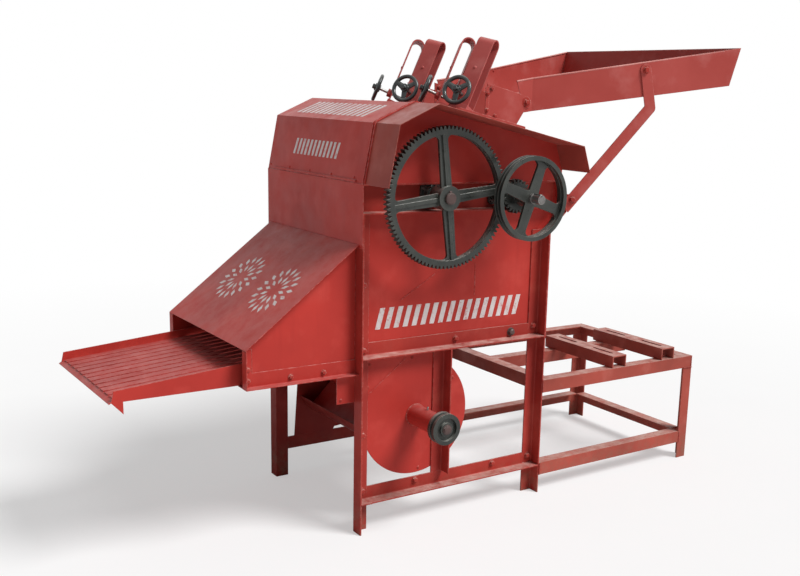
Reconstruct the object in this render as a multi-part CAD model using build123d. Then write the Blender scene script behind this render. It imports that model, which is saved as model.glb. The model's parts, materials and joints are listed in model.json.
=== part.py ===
from build123d import *
import os
from math import acos, atan, atan2, cos, degrees, pi, radians, sin, tan

# Corn sheller: a sheet-steel body on an angle-iron frame, with an engine table,
# a two-throat feed, a geared rotor, a winnowing fan and a shaker tray.
# Sizes are in millimetres. While it is built, X = 0 is the outer corner of the left
# legs, Y = 0 the plane of the near panel and Z = 0 the floor.

# Rolled angle and sheet
angle_flange = 50
angle_wall = 5
angle_root = 4
sheet = 2
run_gap = 0.3
shaft_play = 0.05
cut_reach = 600
wedge_sides = 6

# Main frame
body_length = 800
body_depth = 625
upper_rail_z = 631
lower_rail_z = 110
right_leg_top = 1039
seam_z = 1224
post_x = 370

# Body and top cover, seen from the near side
bulge_out = 72
bulge_z = 1107
skirt_out = 41
skirt_z = 1264
eave_out = 8
eave_z = 1358
ridge_x = 184
ridge_z = 1489
shoulder_x = 38
shoulder_z = 1421
guard_reach = 156
left_wall_base = 1012

# Bearing channels and shafts
channel_height = 100
channel_wall = 5
shaft_z = 1179
rotor_x = 282
rotor_shaft_r = 20
pinion_shaft_r = 17.5
shaft_nose_r = 16
shaft_hole_gap = 4
bearing_half = 38
bearing_wall = 8
bearing_depth = 34
bearing_lug = 9

# Gear train
gear_module = 5
gear_teeth = 94
pinion_teeth = 22
pressure_angle = 20
tooth_backlash = 0.7
flank_steps = 2
gear_face = 28
gear_front_y = -130
gear_hub_r = 42
gear_hub_front = 6
gear_hub_back = 30
gear_rim = 17
gear_turn = 6.7
pinion_extra = 4
web_wall = 10
web_lip = 2
rib_wall = 12
rib_inset = 3
spoke_count = 4
spoke_hub_width = 44
spoke_rim_width = 34
spoke_fillet = 16

# Main pulley
pulley_r = 147
pulley_width = 36
pulley_front_y = -226
groove_depth = 9
groove_half_angle = 18
groove_mouth = 13
pulley_rim = 15
pulley_web_inset = 14
pulley_hub_r = 32
pulley_hub_length = 56
pulley_turn = -20
shaft_tail = 40
shaft_end = 8

# Rotor
disc_r = 190
disc_wall = 16
disc_teeth = 30
disc_tooth_share = 0.16
disc_tooth_depth = 14
disc_hub_r = 45
disc_hub_length = 90
stud_size = 16
stud_height = 14
stud_count = 12
stud_rings = (118, 152)
concave_gap = 24
concave_bar = 10
concave_bar_count = 12
concave_start = 222
concave_end = 340
concave_rib = 12
concave_rib_inset = 60
weld = 1

# Winnowing fan
fan_x = 250
fan_z = 392
fan_plate_r = 220
fan_plate = 3
fan_wing_x = -68
fan_wing_base = 475
fan_wing_top = 575
fan_foot_x = 77
fan_head_x = 109
drum_r = 158
drum_start = 90
drum_end = 205
drum_lip_x = 118
fan_shaft_r = 12.5
blade_r = 138
blade_wall = 3
blade_count = 4
blade_side_gap = 18
fan_hub_r = 30
fan_tube_r = 38
fan_tube_length = 165
fan_tube_wall = 8
fan_bearing_length = 22
fan_far_bearing_r = 42
fan_pulley_r = 56
fan_pulley_width = 38
fan_recess = 10
fan_recess_rim = 6
fan_pulley_hub = 12

# Hood over the shaker tray
hood_join_z = 1022
hood_reach = 404
hood_lip_z = 706
hood_overhang = 28
hood_base_z = 577
hood_rail_height = 50
hood_ledge = 30
hood_wall = 3

# Slides inside the body
feed_top = (body_length - 92, 1366)
feed_foot_rise = 21
feed_foot_gap = 8
cob_top = (100, 1004)
cob_foot = (-14, 716)
kernel_top = (body_length - sheet, 880)
kernel_foot = (104, 660)

# Shaker tray
tray_left_x = -797
tray_end_gap = 5
tray_side_gap = 36.5
tray_bottom_z = 580
tray_left_height = 36
tray_left_rake = 8
tray_slope = 5.2
tray_sheet = 3
deck_drop = 24
slat_count = 12
slat_gap = 11
slat_wall = 4
deck_bar = 30
deck_bar_x = (-700, -400, -60)
lip_x = -813
lip_drop = 8
gusset_length = 36
gusset_drop = 40
tray_stroke = 15
runner_flange = 44
runner_wall = 4

# Feed throats
throat_centre_offset = 170
throat_width = 195
throat_plate = 3
throat_left_x = body_length - 242
throat_right_x = body_length - 110
throat_top = 149
curb_height = 38
curb_wall = 5
curb_left_x = body_length - 396
curb_right_x = body_length - 84
curb_margin = 22
curb_mouth_x = body_length - 252
throat_rake = 5
ear_x = body_length - 68
ear_z = 1502
ear_r = 21
ear_angle = 60
ear_gap = 1
pivot_pin_r = 6

# Hopper
hopper_left_top = (body_length - 111, 1577)
hopper_right_top = (body_length + 790, 1741)
hopper_right_base = (body_length + 752, 1595)
hopper_left_base = (body_length - 72, 1466)
hopper_flare_start = body_length - 38
hopper_flare = 17.5
pin_reach = 14

# Hopper strut
strut_width = 44
strut_wall = 5
strut_tail = 46
bolt_end = 8
strut_top = (body_length + 399, 1640)
strut_bend = (body_length + 426, 1499)
strut_foot = (body_length + 134, 1147)
strut_bolt_r = 6
bracket_r = 18
bracket_root = 30

# Pressure springs and handwheels
spring_lean = 25
spring_turn = 27
spring_width = 64
spring_wall = 5
spring_bend_r = 26
spring_height = 262
spring_offset = 64
spring_foot_x = body_length - 327
spring_seat = 60
seat_rise = 14
screw_height = 28
screw_r = 6
wheel_reach = 56
wheel_r = 55
wheel_rim = 9
wheel_spokes = 3
wheel_turn = 30
wheel_spoke_width = 12
wheel_hub_r = 13
wheel_hub_length = 22
nut_size = 28
nut_depth = 14

# Engine table
table_length = 837
table_z = 458
table_stretcher_z = 122
table_middle_y = 312
rail_width = 75
rail_height = 50
rail_wall = 5
rail_near_y = -46
rail_length = 430
rail_x = (body_length + 368, body_length + 650)
slot_length = 120
slot_width = 13
slot_near_y = 56
slot_pitch = 224

# Derived places
side_near = -angle_flange
side_far = body_depth + angle_flange
middle_y = body_depth / 2
bulge_x = body_length + bulge_out
skirt_x = body_length + skirt_out
eave_x = body_length + eave_out
channel_z = seam_z - channel_height
table_right = body_length + table_length
gear_pitch_r = gear_module * gear_teeth / 2
pinion_pitch_r = gear_module * pinion_teeth / 2
pinion_x = rotor_x + gear_pitch_r + pinion_pitch_r
gear_middle_y = gear_front_y + gear_face / 2
feed_foot = (rotor_x + disc_r + feed_foot_gap, shaft_z + feed_foot_rise)
roof_angle = degrees(atan((ridge_z - eave_z) / (eave_x - ridge_x)))
throat_centres = (middle_y - throat_centre_offset, middle_y + throat_centre_offset)
fan_pulley_back_y = -fan_tube_length - run_gap
tray_near_y = tray_side_gap
tray_far_y = body_depth - tray_side_gap
tray_right_x = -tray_stroke - tray_end_gap
hopper_near_y = throat_centres[0] - throat_width / 2 + throat_plate + ear_gap
hopper_far_y = 2 * middle_y - hopper_near_y


# Helpers
def block(x0, x1, y0, y1, z0, z1):
    return Pos(x0, y0, z0) * Box(x1 - x0, y1 - y0, z1 - z0, align=(Align.MIN, Align.MIN, Align.MIN))


def round_bar(x, z, radius, y0, y1):
    """A round bar along Y from y0 to y1."""
    bar = Cylinder(radius, y1 - y0, align=(Align.CENTER, Align.CENTER, Align.MIN))
    return Pos(x, y0, z) * Rot(-90, 0, 0) * bar


def side_plate(points, y0, y1):
    """A flat plate whose outline is drawn in the XZ plane."""
    outline = Polyline(*[(x, y0, z) for x, z in points], close=True)
    return extrude(make_face(outline), amount=y1 - y0, dir=(0, 1, 0))


def folded_sheet(points, wall, y0, y1):
    """Sheet folded along an open outline in the XZ plane, on the right of its path."""
    path = [Vector(x, z) for x, z in points]
    steps = [(end - start).normalized() for start, end in zip(path, path[1:])]
    other_face = []
    for number, corner in enumerate(path):
        before = steps[max(number - 1, 0)]
        after = steps[min(number, len(steps) - 1)]
        middle = (before + after).normalized()
        moved = corner + Vector(middle.Y, -middle.X) * (wall / middle.dot(before))
        other_face.insert(0, (moved.X, moved.Y))
    return side_plate(points + other_face, y0, y1)


def angle_bar(corner, along, side_a, side_b, length,
              size_a=angle_flange, size_b=angle_flange, wall=angle_wall):
    """Angle section: its outer corner runs from a point, with a flange on each side."""
    in_order = Vector(along).cross(Vector(side_a)) == Vector(side_b)
    first, size_x, size_y = (side_a, size_a, size_b) if in_order else (side_b, size_b, size_a)
    low = (Align.MIN, Align.MIN)
    section = Rectangle(size_x, size_y, align=low) - Pos(wall, wall) * Rectangle(size_x, size_y, align=low)
    root = section.vertices().sort_by_distance((wall, wall, 0))[0]
    section = fillet(root, radius=min(angle_root, wall))
    return extrude(Plane(origin=corner, x_dir=first, z_dir=along) * section, amount=length)


def mirrored(shape):
    """The same piece on the far side of the machine."""
    return mirror(shape, about=Plane.XZ.offset(-middle_y))


# Frame: the legs stand in the panel planes with one flange turned outwards
def make_legs():
    left = angle_bar((0, 0, 0), (0, 0, 1), (1, 0, 0), (0, -1, 0), channel_z)
    right = angle_bar((body_length, 0, 0), (0, 0, 1), (-1, 0, 0), (0, -1, 0), right_leg_top)
    return {
        "leg_near_left": left,
        "leg_near_right": right,
        "leg_far_left": mirrored(left),
        "leg_far_right": mirrored(right),
    }


def make_rails(legs):
    """Long rails, coped round the legs, with their lower flange as an outer ledge."""
    rails = {}
    for name, z in (("upper_rail", upper_rail_z), ("lower_rail", lower_rail_z)):
        rail = angle_bar((0, 0, z), (1, 0, 0), (0, 0, 1), (0, -1, 0), body_length)
        rail = rail - legs["leg_near_left"] - legs["leg_near_right"]
        rail = rail.solids().sort_by(SortBy.VOLUME)[-1]
        rails[name + "_near"] = rail
        rails[name + "_far"] = mirrored(rail)
    return rails


def make_cross_rails():
    """Rails between the panels, under the body's two ends."""
    span = body_depth - 2 * sheet
    left = angle_bar((0, sheet, upper_rail_z), (0, 1, 0), (0, 0, 1), (1, 0, 0), span)
    right = angle_bar((body_length, sheet, upper_rail_z), (0, 1, 0), (0, 0, 1), (-1, 0, 0), span)
    return [left, right]


def make_fan_posts():
    base = lower_rail_z + angle_flange
    post = angle_bar((post_x, 0, base), (0, 0, 1), (-1, 0, 0), (0, -1, 0), upper_rail_z - base)
    return [post, mirrored(post)]


# Engine table
def make_table():
    """Top beams, legs and stretchers of the table bolted to the right legs."""
    down, up = (0, 0, -1), (0, 0, 1)
    left, right = (-1, 0, 0), (1, 0, 0)
    away = (0, 1, 0)
    near = angle_bar((body_length, side_near, table_z), right, down, away, table_length)
    far = mirrored(near)
    corner = (table_right, side_near + angle_wall, table_z)
    end = angle_bar(corner, away, down, left, side_far - side_near - 2 * angle_wall)
    end = (end - near - far).solids().sort_by(SortBy.VOLUME)[-1]
    inner_end = angle_bar((body_length, 0, table_z), away, down, right, body_depth)
    corner = (body_length + angle_flange, table_middle_y, table_z)
    middle = angle_bar(corner, right, down, away, table_length - 2 * angle_flange)
    leg = angle_bar((table_right, side_near, 0), up, left, away, table_z - angle_flange)
    corner = (body_length, side_near, table_stretcher_z)
    low = angle_bar(corner, right, down, away, table_length - angle_flange)
    low_end = angle_bar((table_right, 0, table_stretcher_z), away, down, left, body_depth)
    return {
        "table_beam_near": near,
        "table_beam_far": far,
        "table_beam_right": end,
        "table_beam_left": inner_end,
        "table_beam_middle": middle,
        "table_legs": [leg, mirrored(leg)],
        "table_stretchers": [low, mirrored(low), low_end],
    }


def make_engine_rail(x):
    """Channel laid with its web up, slotted for the engine's feet."""
    y1 = rail_near_y + rail_length
    rail = block(x, x + rail_width, rail_near_y, y1, table_z, table_z + rail_height)
    rail -= block(
        x + rail_wall,
        x + rail_width - rail_wall,
        rail_near_y,
        y1,
        table_z,
        table_z + rail_height - rail_wall,
    )
    web = Plane((x + rail_width / 2, 0, table_z + rail_height - rail_wall))
    for step in range(2):
        place = Pos(0, slot_near_y + step * slot_pitch) * Rot(0, 0, 90)
        rail -= extrude(web * place * SlotOverall(slot_length, slot_width), amount=rail_wall)
    return rail


# Body
def bulge_outline():
    """Inner face of the right wall, from the rail up to the cover."""
    return [
        (body_length, upper_rail_z),
        (body_length, right_leg_top),
        (bulge_x, bulge_z),
        (skirt_x - sheet, seam_z),
    ]


def panel_outline():
    return [(0, upper_rail_z)] + bulge_outline() + [(0, seam_z)]


def make_panel():
    """Near side panel, from the upper rail to the seam of the cover."""
    panel = side_plate(panel_outline(), 0, sheet)
    for x, shaft_r in ((rotor_x, rotor_shaft_r), (pinion_x, pinion_shaft_r)):
        panel -= round_bar(x, shaft_z, shaft_r + shaft_hole_gap, 0, sheet)
    return panel


def wall_x(z):
    """Outer face of the right wall above the bulge."""
    return bulge_x + sheet + (z - bulge_z) * (skirt_x - sheet - bulge_x) / (seam_z - bulge_z)


def make_right_wall():
    """Upright wall that steps out over the rotor housing, with the strut's bracket on it."""
    wall = folded_sheet(bulge_outline(), sheet, side_near, side_far)
    wall &= block(body_length, bulge_x + 2 * sheet, side_near, side_far, upper_rail_z, seam_z)
    plane = strut_plane(-strut_wall)
    x, z = in_strut_plane(strut_foot)
    root_x = in_strut_plane((wall_x(strut_foot[1]) - bracket_root, 0))[0]
    corners = [
        (root_x, z - bracket_root),
        (x, z - bracket_r),
        (x, z + bracket_r),
        (root_x, z + bracket_root),
    ]
    tab = make_face(Polyline(*corners, close=True)) + Pos(x, z) * Circle(bracket_r)
    tab = extrude(plane * tab, amount=strut_wall)
    tab -= side_plate(panel_outline(), side_near, side_far)
    bolt = Cylinder(strut_bolt_r, 2 * strut_wall + bolt_end, align=(Align.CENTER, Align.CENTER, Align.MIN))
    return wall + tab + plane * Pos(x, z) * bolt


def make_left_wall():
    return block(-sheet, 0, side_near, side_far, left_wall_base, seam_z)


def make_channel():
    """Bearing channel across the near side, flanges outwards, with shaft holes in its web."""
    x1 = skirt_x - sheet
    z0, z1 = channel_z + channel_wall, seam_z - channel_wall
    channel = block(0, x1, side_near, 0, channel_z, seam_z)
    channel -= block(0, x1, side_near, -channel_wall, z0, z1)
    for x, shaft_r in ((rotor_x, rotor_shaft_r), (pinion_x, pinion_shaft_r)):
        channel -= round_bar(x, shaft_z, shaft_r + shaft_hole_gap, -channel_wall, 0)
    return channel


def make_bearing(x, shaft_r):
    """Square flanged bearing housing, bolted to the channel's web."""
    face_y = -channel_wall
    half = bearing_half
    base = block(x - half, x + half, face_y - bearing_lug, face_y, shaft_z - half, shaft_z + half)
    base = fillet(base.edges().filter_by(Axis.Y), radius=bearing_half / 3)
    boss = round_bar(x, shaft_z, half - bearing_wall, face_y - bearing_depth, face_y - bearing_lug)
    bore = round_bar(x, shaft_z, shaft_r + shaft_play, face_y - bearing_depth, face_y)
    return base + boss - bore


# Top cover and the guard over the gear
def cover_outline():
    return [
        (0, seam_z),
        (shoulder_x, shoulder_z),
        (ridge_x, ridge_z),
        (eave_x, eave_z),
        (skirt_x, skirt_z),
        (skirt_x, seam_z),
    ]


def roof_z(x):
    return ridge_z - (x - ridge_x) * tan(radians(roof_angle))


def curb_top(x):
    return roof_z(x) + curb_height


def throat_mouth(centre, z0, z1):
    """Room of one throat's opening through the curb and the roof."""
    half = throat_width / 2 - throat_plate
    return block(curb_mouth_x, curb_right_x - curb_wall, centre - half, centre + half, z0, z1)


def make_cover():
    cover = side_plate(cover_outline(), side_near, side_far)
    cover = offset(cover, amount=-sheet, openings=cover.faces().sort_by(Axis.Z)[0])
    for centre in throat_centres:
        cover -= throat_mouth(centre, seam_z, ridge_z)
    return cover


def make_gear_guard():
    """Folded strip of the cover's own outline, reaching out over the gear."""
    points = cover_outline()[:-1]
    return folded_sheet(points, sheet, side_near - guard_reach, side_near)


# Feed throats
def make_curb():
    """Raised deck on the roof slope that carries the throat plates and the springs."""
    half = throat_width / 2 + curb_margin
    x0, x1 = curb_left_x, curb_right_x
    points = [(x0, roof_z(x0)), (x1, roof_z(x1)), (x1, curb_top(x1)), (x0, curb_top(x0))]
    curb = side_plate(points, throat_centres[0] - half, throat_centres[1] + half)
    under = min(curb.faces().filter_by(GeomType.PLANE), key=lambda face: face.normal_at().Z)
    curb = offset(curb, amount=-curb_wall, openings=under)
    for centre in throat_centres:
        curb -= throat_mouth(centre, seam_z, ridge_z + curb_height)
    return curb


def make_throat_plate(y0, with_ear):
    """Upright side plate of a throat; the outer ones end in the hopper's pivot ear."""
    x0, x1 = throat_left_x, throat_right_x
    rise = throat_top / cos(radians(roof_angle))
    top_left = (x0 - throat_rake, roof_z(x0) + rise)
    top_right = (x1, roof_z(x1) + rise)
    points = [(x0, curb_top(x0)), top_left, top_right]
    if with_ear:
        over = radians(ear_angle)
        points.append((ear_x + ear_r * cos(over), ear_z + ear_r * sin(over)))
        points.append((ear_x, ear_z - ear_r))
    points.append((x1, curb_top(x1)))
    plate = side_plate(points, y0, y0 + throat_plate)
    if with_ear:
        plate += round_bar(ear_x, ear_z, ear_r, y0, y0 + throat_plate)
        plate -= round_bar(ear_x, ear_z, pivot_pin_r + shaft_play, y0, y0 + throat_plate)
    return plate


def make_throat(centre, near_ear, far_ear):
    """The two side plates of one throat, standing on the curb's rim."""
    half = throat_width / 2
    near = make_throat_plate(centre - half, near_ear)
    far = make_throat_plate(centre + half - throat_plate, far_ear)
    return [near, far]


def plan_prism(inset):
    """Upright prism of the hopper's outline from above, moved in by the sheet."""
    flare = tan(radians(hopper_flare))
    x0 = hopper_left_top[0] - cut_reach
    x1 = hopper_right_top[0] + cut_reach
    spread = (x1 - hopper_flare_start) * flare
    near = hopper_near_y + inset
    far = hopper_far_y - inset
    points = [
        (x0, near),
        (hopper_flare_start, near),
        (x1, near - spread),
        (x1, far + spread),
        (hopper_flare_start, far),
        (x0, far),
    ]
    outline = Polyline(*[(x, y, 0) for x, y in points], close=True)
    return extrude(make_face(outline), amount=hopper_right_top[1] + cut_reach, dir=(0, 0, 1))


def make_hopper():
    """Tapered pan, open above and towards the throats, with its pivot pins."""
    y_span = (hopper_near_y - cut_reach, hopper_far_y + cut_reach)
    pan_side = [hopper_left_top, hopper_right_top, hopper_right_base, hopper_left_base]
    left_x, left_z = hopper_left_base
    right_x, right_z = hopper_right_base
    top_x, top_z = hopper_right_top
    tilt = (right_z - left_z) / (right_x - left_x)
    room = [
        (left_x - cut_reach, left_z - cut_reach * tilt + sheet),
        (right_x - sheet, right_z + sheet),
        (top_x - sheet, top_z),
        (top_x - sheet, top_z + cut_reach),
        (left_x - cut_reach, top_z + cut_reach),
    ]
    outer = side_plate(pan_side, *y_span) & plan_prism(0)
    inner = side_plate(room, *y_span) & plan_prism(sheet)
    pan = outer - inner
    near_pin = round_bar(ear_x, ear_z, pivot_pin_r, hopper_near_y - pin_reach, hopper_near_y)
    pan += near_pin + mirrored(near_pin)
    plane = strut_plane(0)
    x, z = in_strut_plane(strut_top)
    bolt = Cylinder(strut_bolt_r, strut_wall + bolt_end, align=(Align.CENTER, Align.CENTER, Align.MIN))
    return pan + plane * Pos(x, z) * bolt


def strut_plane(outward):
    """Plane parallel to the hopper's flared near side, a distance outside it."""
    turn = radians(hopper_flare)
    normal = Vector(-sin(turn), -cos(turn), 0)
    origin = Vector(hopper_flare_start, hopper_near_y, 0) + normal * outward
    return Plane(origin=origin, x_dir=(cos(turn), -sin(turn), 0), z_dir=normal)


def in_strut_plane(point):
    """A point of the side view, carried along the hopper's flared side."""
    return ((point[0] - hopper_flare_start) / cos(radians(hopper_flare)), point[1])


def make_strut():
    """Dog-leg flat bar, round at the top, cut square past its lower bolt."""
    top, bend, foot = (in_strut_plane(point) for point in (strut_top, strut_bend, strut_foot))
    path = Polyline(top, bend, foot)
    bar = Sketch() + make_face(offset(path, amount=strut_width / 2, kind=Kind.ARC))
    down = degrees(atan2(foot[1] - bend[1], foot[0] - bend[0]))
    bar += Pos(*foot) * Rot(0, 0, down) * Rectangle(strut_tail, strut_width, align=(Align.MIN, Align.CENTER))
    for x, z in (top, foot):
        bar -= Pos(x, z) * Circle(strut_bolt_r + shaft_play)
    return extrude(strut_plane(run_gap) * bar, amount=strut_wall)


# Springs and handwheels: each stands in its own leaning, turned frame
def spring_frame(y, turn):
    lean, swing = radians(spring_lean), radians(turn)
    base = Vector(spring_foot_x, y, curb_top(spring_foot_x) + seat_rise)
    forward = Vector(cos(lean), 0, -sin(lean)) * cos(swing) + Vector(0, 1, 0) * sin(swing)
    return Plane(origin=base, x_dir=forward, z_dir=(sin(lean), 0, cos(lean)))


def make_spring(y, turn):
    """A strip bent over into a loop, on a wedge seat, with the screw's nut on its front leg."""
    outer = spring_bend_r
    straight = spring_height - outer
    loop = Pos(0, straight) * (Circle(outer) - Circle(outer - spring_wall))
    loop -= Pos(0, straight) * Rectangle(2 * outer, outer, align=(Align.CENTER, Align.MAX))
    for side in (-1, 1):
        leg = Rectangle(spring_wall, straight, align=(Align.CENTER, Align.MIN))
        loop += Pos(side * (outer - spring_wall / 2), 0) * leg
    upright = Plane(origin=(0, spring_width / 2, 0), x_dir=(1, 0, 0), z_dir=(0, -1, 0))
    strip = extrude(upright * loop, amount=spring_width)
    depth = seat_rise + spring_seat
    seat = Box(spring_seat, spring_width, depth, align=(Align.CENTER, Align.CENTER, Align.MAX))
    screw_line = Pos(-outer - nut_depth, 0, screw_height) * Rot(0, 90, 0)
    low = (Align.CENTER, Align.CENTER, Align.MIN)
    nut = screw_line * extrude(RegularPolygon(nut_size / 2, 6, major_radius=False), amount=nut_depth)
    bore = screw_line * Cylinder(screw_r + shaft_play, nut_depth + spring_wall, align=low)
    spring = spring_frame(y, turn) * (strip + seat + nut - bore)
    x0, x1 = curb_left_x - cut_reach, curb_right_x + cut_reach
    ground = [(x0, curb_top(x0)), (x1, curb_top(x1)), (x1, 0), (x0, 0)]
    return spring - side_plate(ground, y - cut_reach, y + cut_reach)


def make_handwheel(y, turn):
    """Handwheel and screw; the screw's nose reaches through the nut to the rear leg."""
    hub_face = -spring_bend_r - wheel_reach
    nose = spring_bend_r - spring_wall - run_gap
    along = Rot(0, 90, 0)
    low = (Align.CENTER, Align.CENTER, Align.MIN)
    screw = Pos(hub_face, 0, 0) * along * Cylinder(screw_r, nose - hub_face, align=low)
    wheel = Cylinder(wheel_r, wheel_rim) - Cylinder(wheel_r - wheel_rim, wheel_rim)
    wheel += Cylinder(wheel_hub_r, wheel_hub_length)
    middle = (Align.MIN, Align.CENTER, Align.CENTER)
    for step in range(wheel_spokes):
        spoke = Box(wheel_r - wheel_rim / 2, wheel_spoke_width, wheel_rim / 2, align=middle)
        wheel += Rot(0, 0, 360 / wheel_spokes * step + wheel_turn) * spoke
    wheel = Pos(hub_face, 0, 0) * along * wheel
    return spring_frame(y, turn) * Pos(0, 0, screw_height) * (wheel + screw)


def spring_places():
    """Place along Y and turn of each spring: the pair of a throat stands in a V."""
    places = []
    for centre in throat_centres:
        places.append((centre - spring_offset, spring_turn))
        places.append((centre + spring_offset, -spring_turn))
    return places


# Gear train
def involute(angle):
    return tan(angle) - angle


def tooth_outline(teeth):
    """Outline of an involute spur gear, drawn anticlockwise from a tooth on the X axis."""
    pitch_r = gear_module * teeth / 2
    base_r = pitch_r * cos(radians(pressure_angle))
    tip_r = pitch_r + gear_module
    root_r = pitch_r - 1.25 * gear_module
    low_r = max(base_r, root_r)
    half_at_pitch = pi / (2 * teeth) - tooth_backlash / (4 * pitch_r)
    flank = []
    for step in range(flank_steps + 1):
        r = low_r + (tip_r - low_r) * step / flank_steps
        half = half_at_pitch + involute(radians(pressure_angle)) - involute(acos(base_r / r))
        flank.append((r, half))
    if root_r < low_r:
        flank.insert(0, (root_r, flank[0][1]))
    points = []
    for tooth in range(teeth):
        middle = 2 * pi * tooth / teeth
        for r, half in flank:
            points.append((r * cos(middle - half), r * sin(middle - half)))
        for r, half in reversed(flank):
            points.append((r * cos(middle + half), r * sin(middle + half)))
    return points


def gear_blank(teeth, face, turn):
    """Toothed disc with its axis along Y, centred on the origin, facing the near side."""
    outline = make_face(Polyline(*tooth_outline(teeth), close=True))
    front = Plane(origin=(0, face / 2, 0), x_dir=(1, 0, 0), z_dir=(0, -1, 0))
    return extrude(front * Rot(0, 0, turn) * outline, amount=face)


def spoked_web(hub_r, rim_r, turn):
    """Hub, tapered spokes and inner rim of a cast wheel as one filleted outline."""
    lip_r = rim_r - web_lip
    web = Circle(rim_r + web_wall / 2) - Circle(lip_r) + Circle(hub_r)
    half_hub, half_rim = spoke_hub_width / 2, spoke_rim_width / 2
    for step in range(spoke_count):
        reach = rim_r + web_wall / 4
        corners = [(0, -half_hub), (reach, -half_rim), (reach, half_rim), (0, half_hub)]
        arm = make_face(Polyline(*corners, close=True))
        web += Rot(0, 0, turn + 360 / spoke_count * step) * arm
    on_rim = [v for v in web.vertices() if abs(Vector(v.X, v.Y, 0).length - lip_r) < web_lip / 2]
    return fillet(on_rim, radius=spoke_fillet)


def spokes(hub_r, rim_r, turn, web_y, rib_y0, rib_y1):
    """Spoked web with its front face at web_y and a rib along each spoke."""
    front = Plane(origin=(0, web_y + web_wall, 0), x_dir=(1, 0, 0), z_dir=(0, -1, 0))
    wheel = extrude(front * spoked_web(hub_r, rim_r, turn), amount=web_wall)
    for step in range(spoke_count):
        rib = block(0, rim_r + web_wall / 4, rib_y0, rib_y1, -rib_wall / 2, rib_wall / 2)
        wheel += Rot(0, -turn - 360 / spoke_count * step, 0) * rib
    return wheel


def make_gear():
    """Cast spur gear: toothed rim, web with four ribbed spokes, and hub."""
    rim_r = gear_pitch_r - 1.25 * gear_module - gear_rim
    half = gear_face / 2
    gear = gear_blank(gear_teeth, gear_face, 0) - round_bar(0, 0, rim_r, -half, half)
    gear += spokes(gear_hub_r, rim_r, gear_turn, -web_wall / 2, rib_inset - half, half - rib_inset)
    y0, y1 = -half - gear_hub_front, half + gear_hub_back
    gear += round_bar(0, 0, gear_hub_r, y0, y1)
    gear -= round_bar(0, 0, rotor_shaft_r, y0, y1)
    return Pos(rotor_x, gear_middle_y, shaft_z) * gear


def make_pinion():
    face = gear_face + pinion_extra
    pinion = gear_blank(pinion_teeth, face, 180 / pinion_teeth)
    pinion -= round_bar(0, 0, pinion_shaft_r, -face / 2, face / 2)
    return Pos(pinion_x, gear_middle_y, shaft_z) * pinion


def make_pinion_shaft(back_y):
    """Driven shaft, turned down where it stands out of the main pulley."""
    nose = round_bar(pinion_x, shaft_z, shaft_nose_r, pulley_front_y - shaft_tail, pulley_front_y)
    return nose + round_bar(pinion_x, shaft_z, pinion_shaft_r, pulley_front_y, back_y)


def groove_points(r, start):
    """Corners of one V groove cut into a rim of radius r, from a place along the rim."""
    inset = groove_depth * tan(radians(groove_half_angle))
    return [
        (r, start),
        (r - groove_depth, start + inset),
        (r - groove_depth, start + groove_mouth - inset),
        (r, start + groove_mouth),
    ]


def grooved_rim(r, bore_r, width, grooves):
    """Ring with V grooves, turned about the Y axis, its front face at Y = 0."""
    land = (width - grooves * groove_mouth) / (grooves + 1)
    points = [(bore_r, 0), (r, 0)]
    for step in range(grooves):
        points += groove_points(r, land + step * (land + groove_mouth))
    points += [(r, width), (bore_r, width)]
    return revolve(make_face(Polyline(*[(x, y, 0) for x, y in points], close=True)), axis=Axis.Y)


def make_main_pulley():
    """Two-groove cast pulley; its hub stands back so that the shaft shows in front of it."""
    rim_r = pulley_r - pulley_rim
    hub_end = pulley_web_inset + pulley_hub_length
    pulley = grooved_rim(pulley_r, rim_r, pulley_width, 2)
    web_back = pulley_web_inset + web_wall
    pulley += spokes(pulley_hub_r, rim_r, pulley_turn, pulley_web_inset, web_back, pulley_width)
    pulley += round_bar(0, 0, pulley_hub_r, pulley_web_inset, hub_end)
    pulley -= round_bar(0, 0, pinion_shaft_r, pulley_web_inset, hub_end)
    return Pos(pinion_x, pulley_front_y, shaft_z) * pulley


# Rotor
def make_disc(y):
    """Toothed picker disc with rings of square studs on both faces."""
    points = []
    root_r = disc_r - disc_tooth_depth
    for tooth in range(disc_teeth):
        corners = ((root_r, -1.7), (disc_r, -1), (disc_r, 1), (root_r, 1.7))
        for r, side in corners:
            angle = 2 * pi * (tooth + side * disc_tooth_share) / disc_teeth
            points.append((r * cos(angle), r * sin(angle)))
    outline = make_face(Polyline(*points, close=True))
    front = Plane(origin=(0, disc_wall / 2, 0), x_dir=(1, 0, 0), z_dir=(0, -1, 0))
    disc = extrude(front * outline, amount=disc_wall)
    depth = disc_wall + 2 * stud_height
    for ring in stud_rings:
        for step in range(stud_count):
            stud = Pos(ring, 0, 0) * Box(stud_size, depth, stud_size)
            disc += Rot(0, 360 / stud_count * step, 0) * stud
    half = disc_hub_length / 2
    disc += round_bar(0, 0, disc_hub_r, -half, half)
    disc -= round_bar(0, 0, rotor_shaft_r, -half, half)
    return Pos(rotor_x, y, shaft_z) * disc


def make_concave():
    """Bars under the rotor, carried on curved ribs between the two panels."""
    r = disc_r + concave_gap
    near, far = sheet, body_depth - sheet
    concave = None
    for y in (near + concave_rib_inset, far - concave_rib_inset - concave_rib):
        back = y + concave_rib
        arc = round_bar(0, 0, r + concave_bar + concave_rib, y, back)
        arc -= round_bar(0, 0, r + concave_bar, y, back)
        arc &= arc_wedge(concave_start, concave_end, 2 * r, y, back)
        concave = arc if concave is None else concave + arc
    step = (concave_end - concave_start) / (concave_bar_count - 1)
    for number in range(concave_bar_count):
        bar = block(r, r + concave_bar + weld, near, far, -concave_bar / 2, concave_bar / 2)
        concave += Rot(0, -(concave_start + number * step), 0) * bar
    return Pos(rotor_x, 0, shaft_z) * concave


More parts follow.
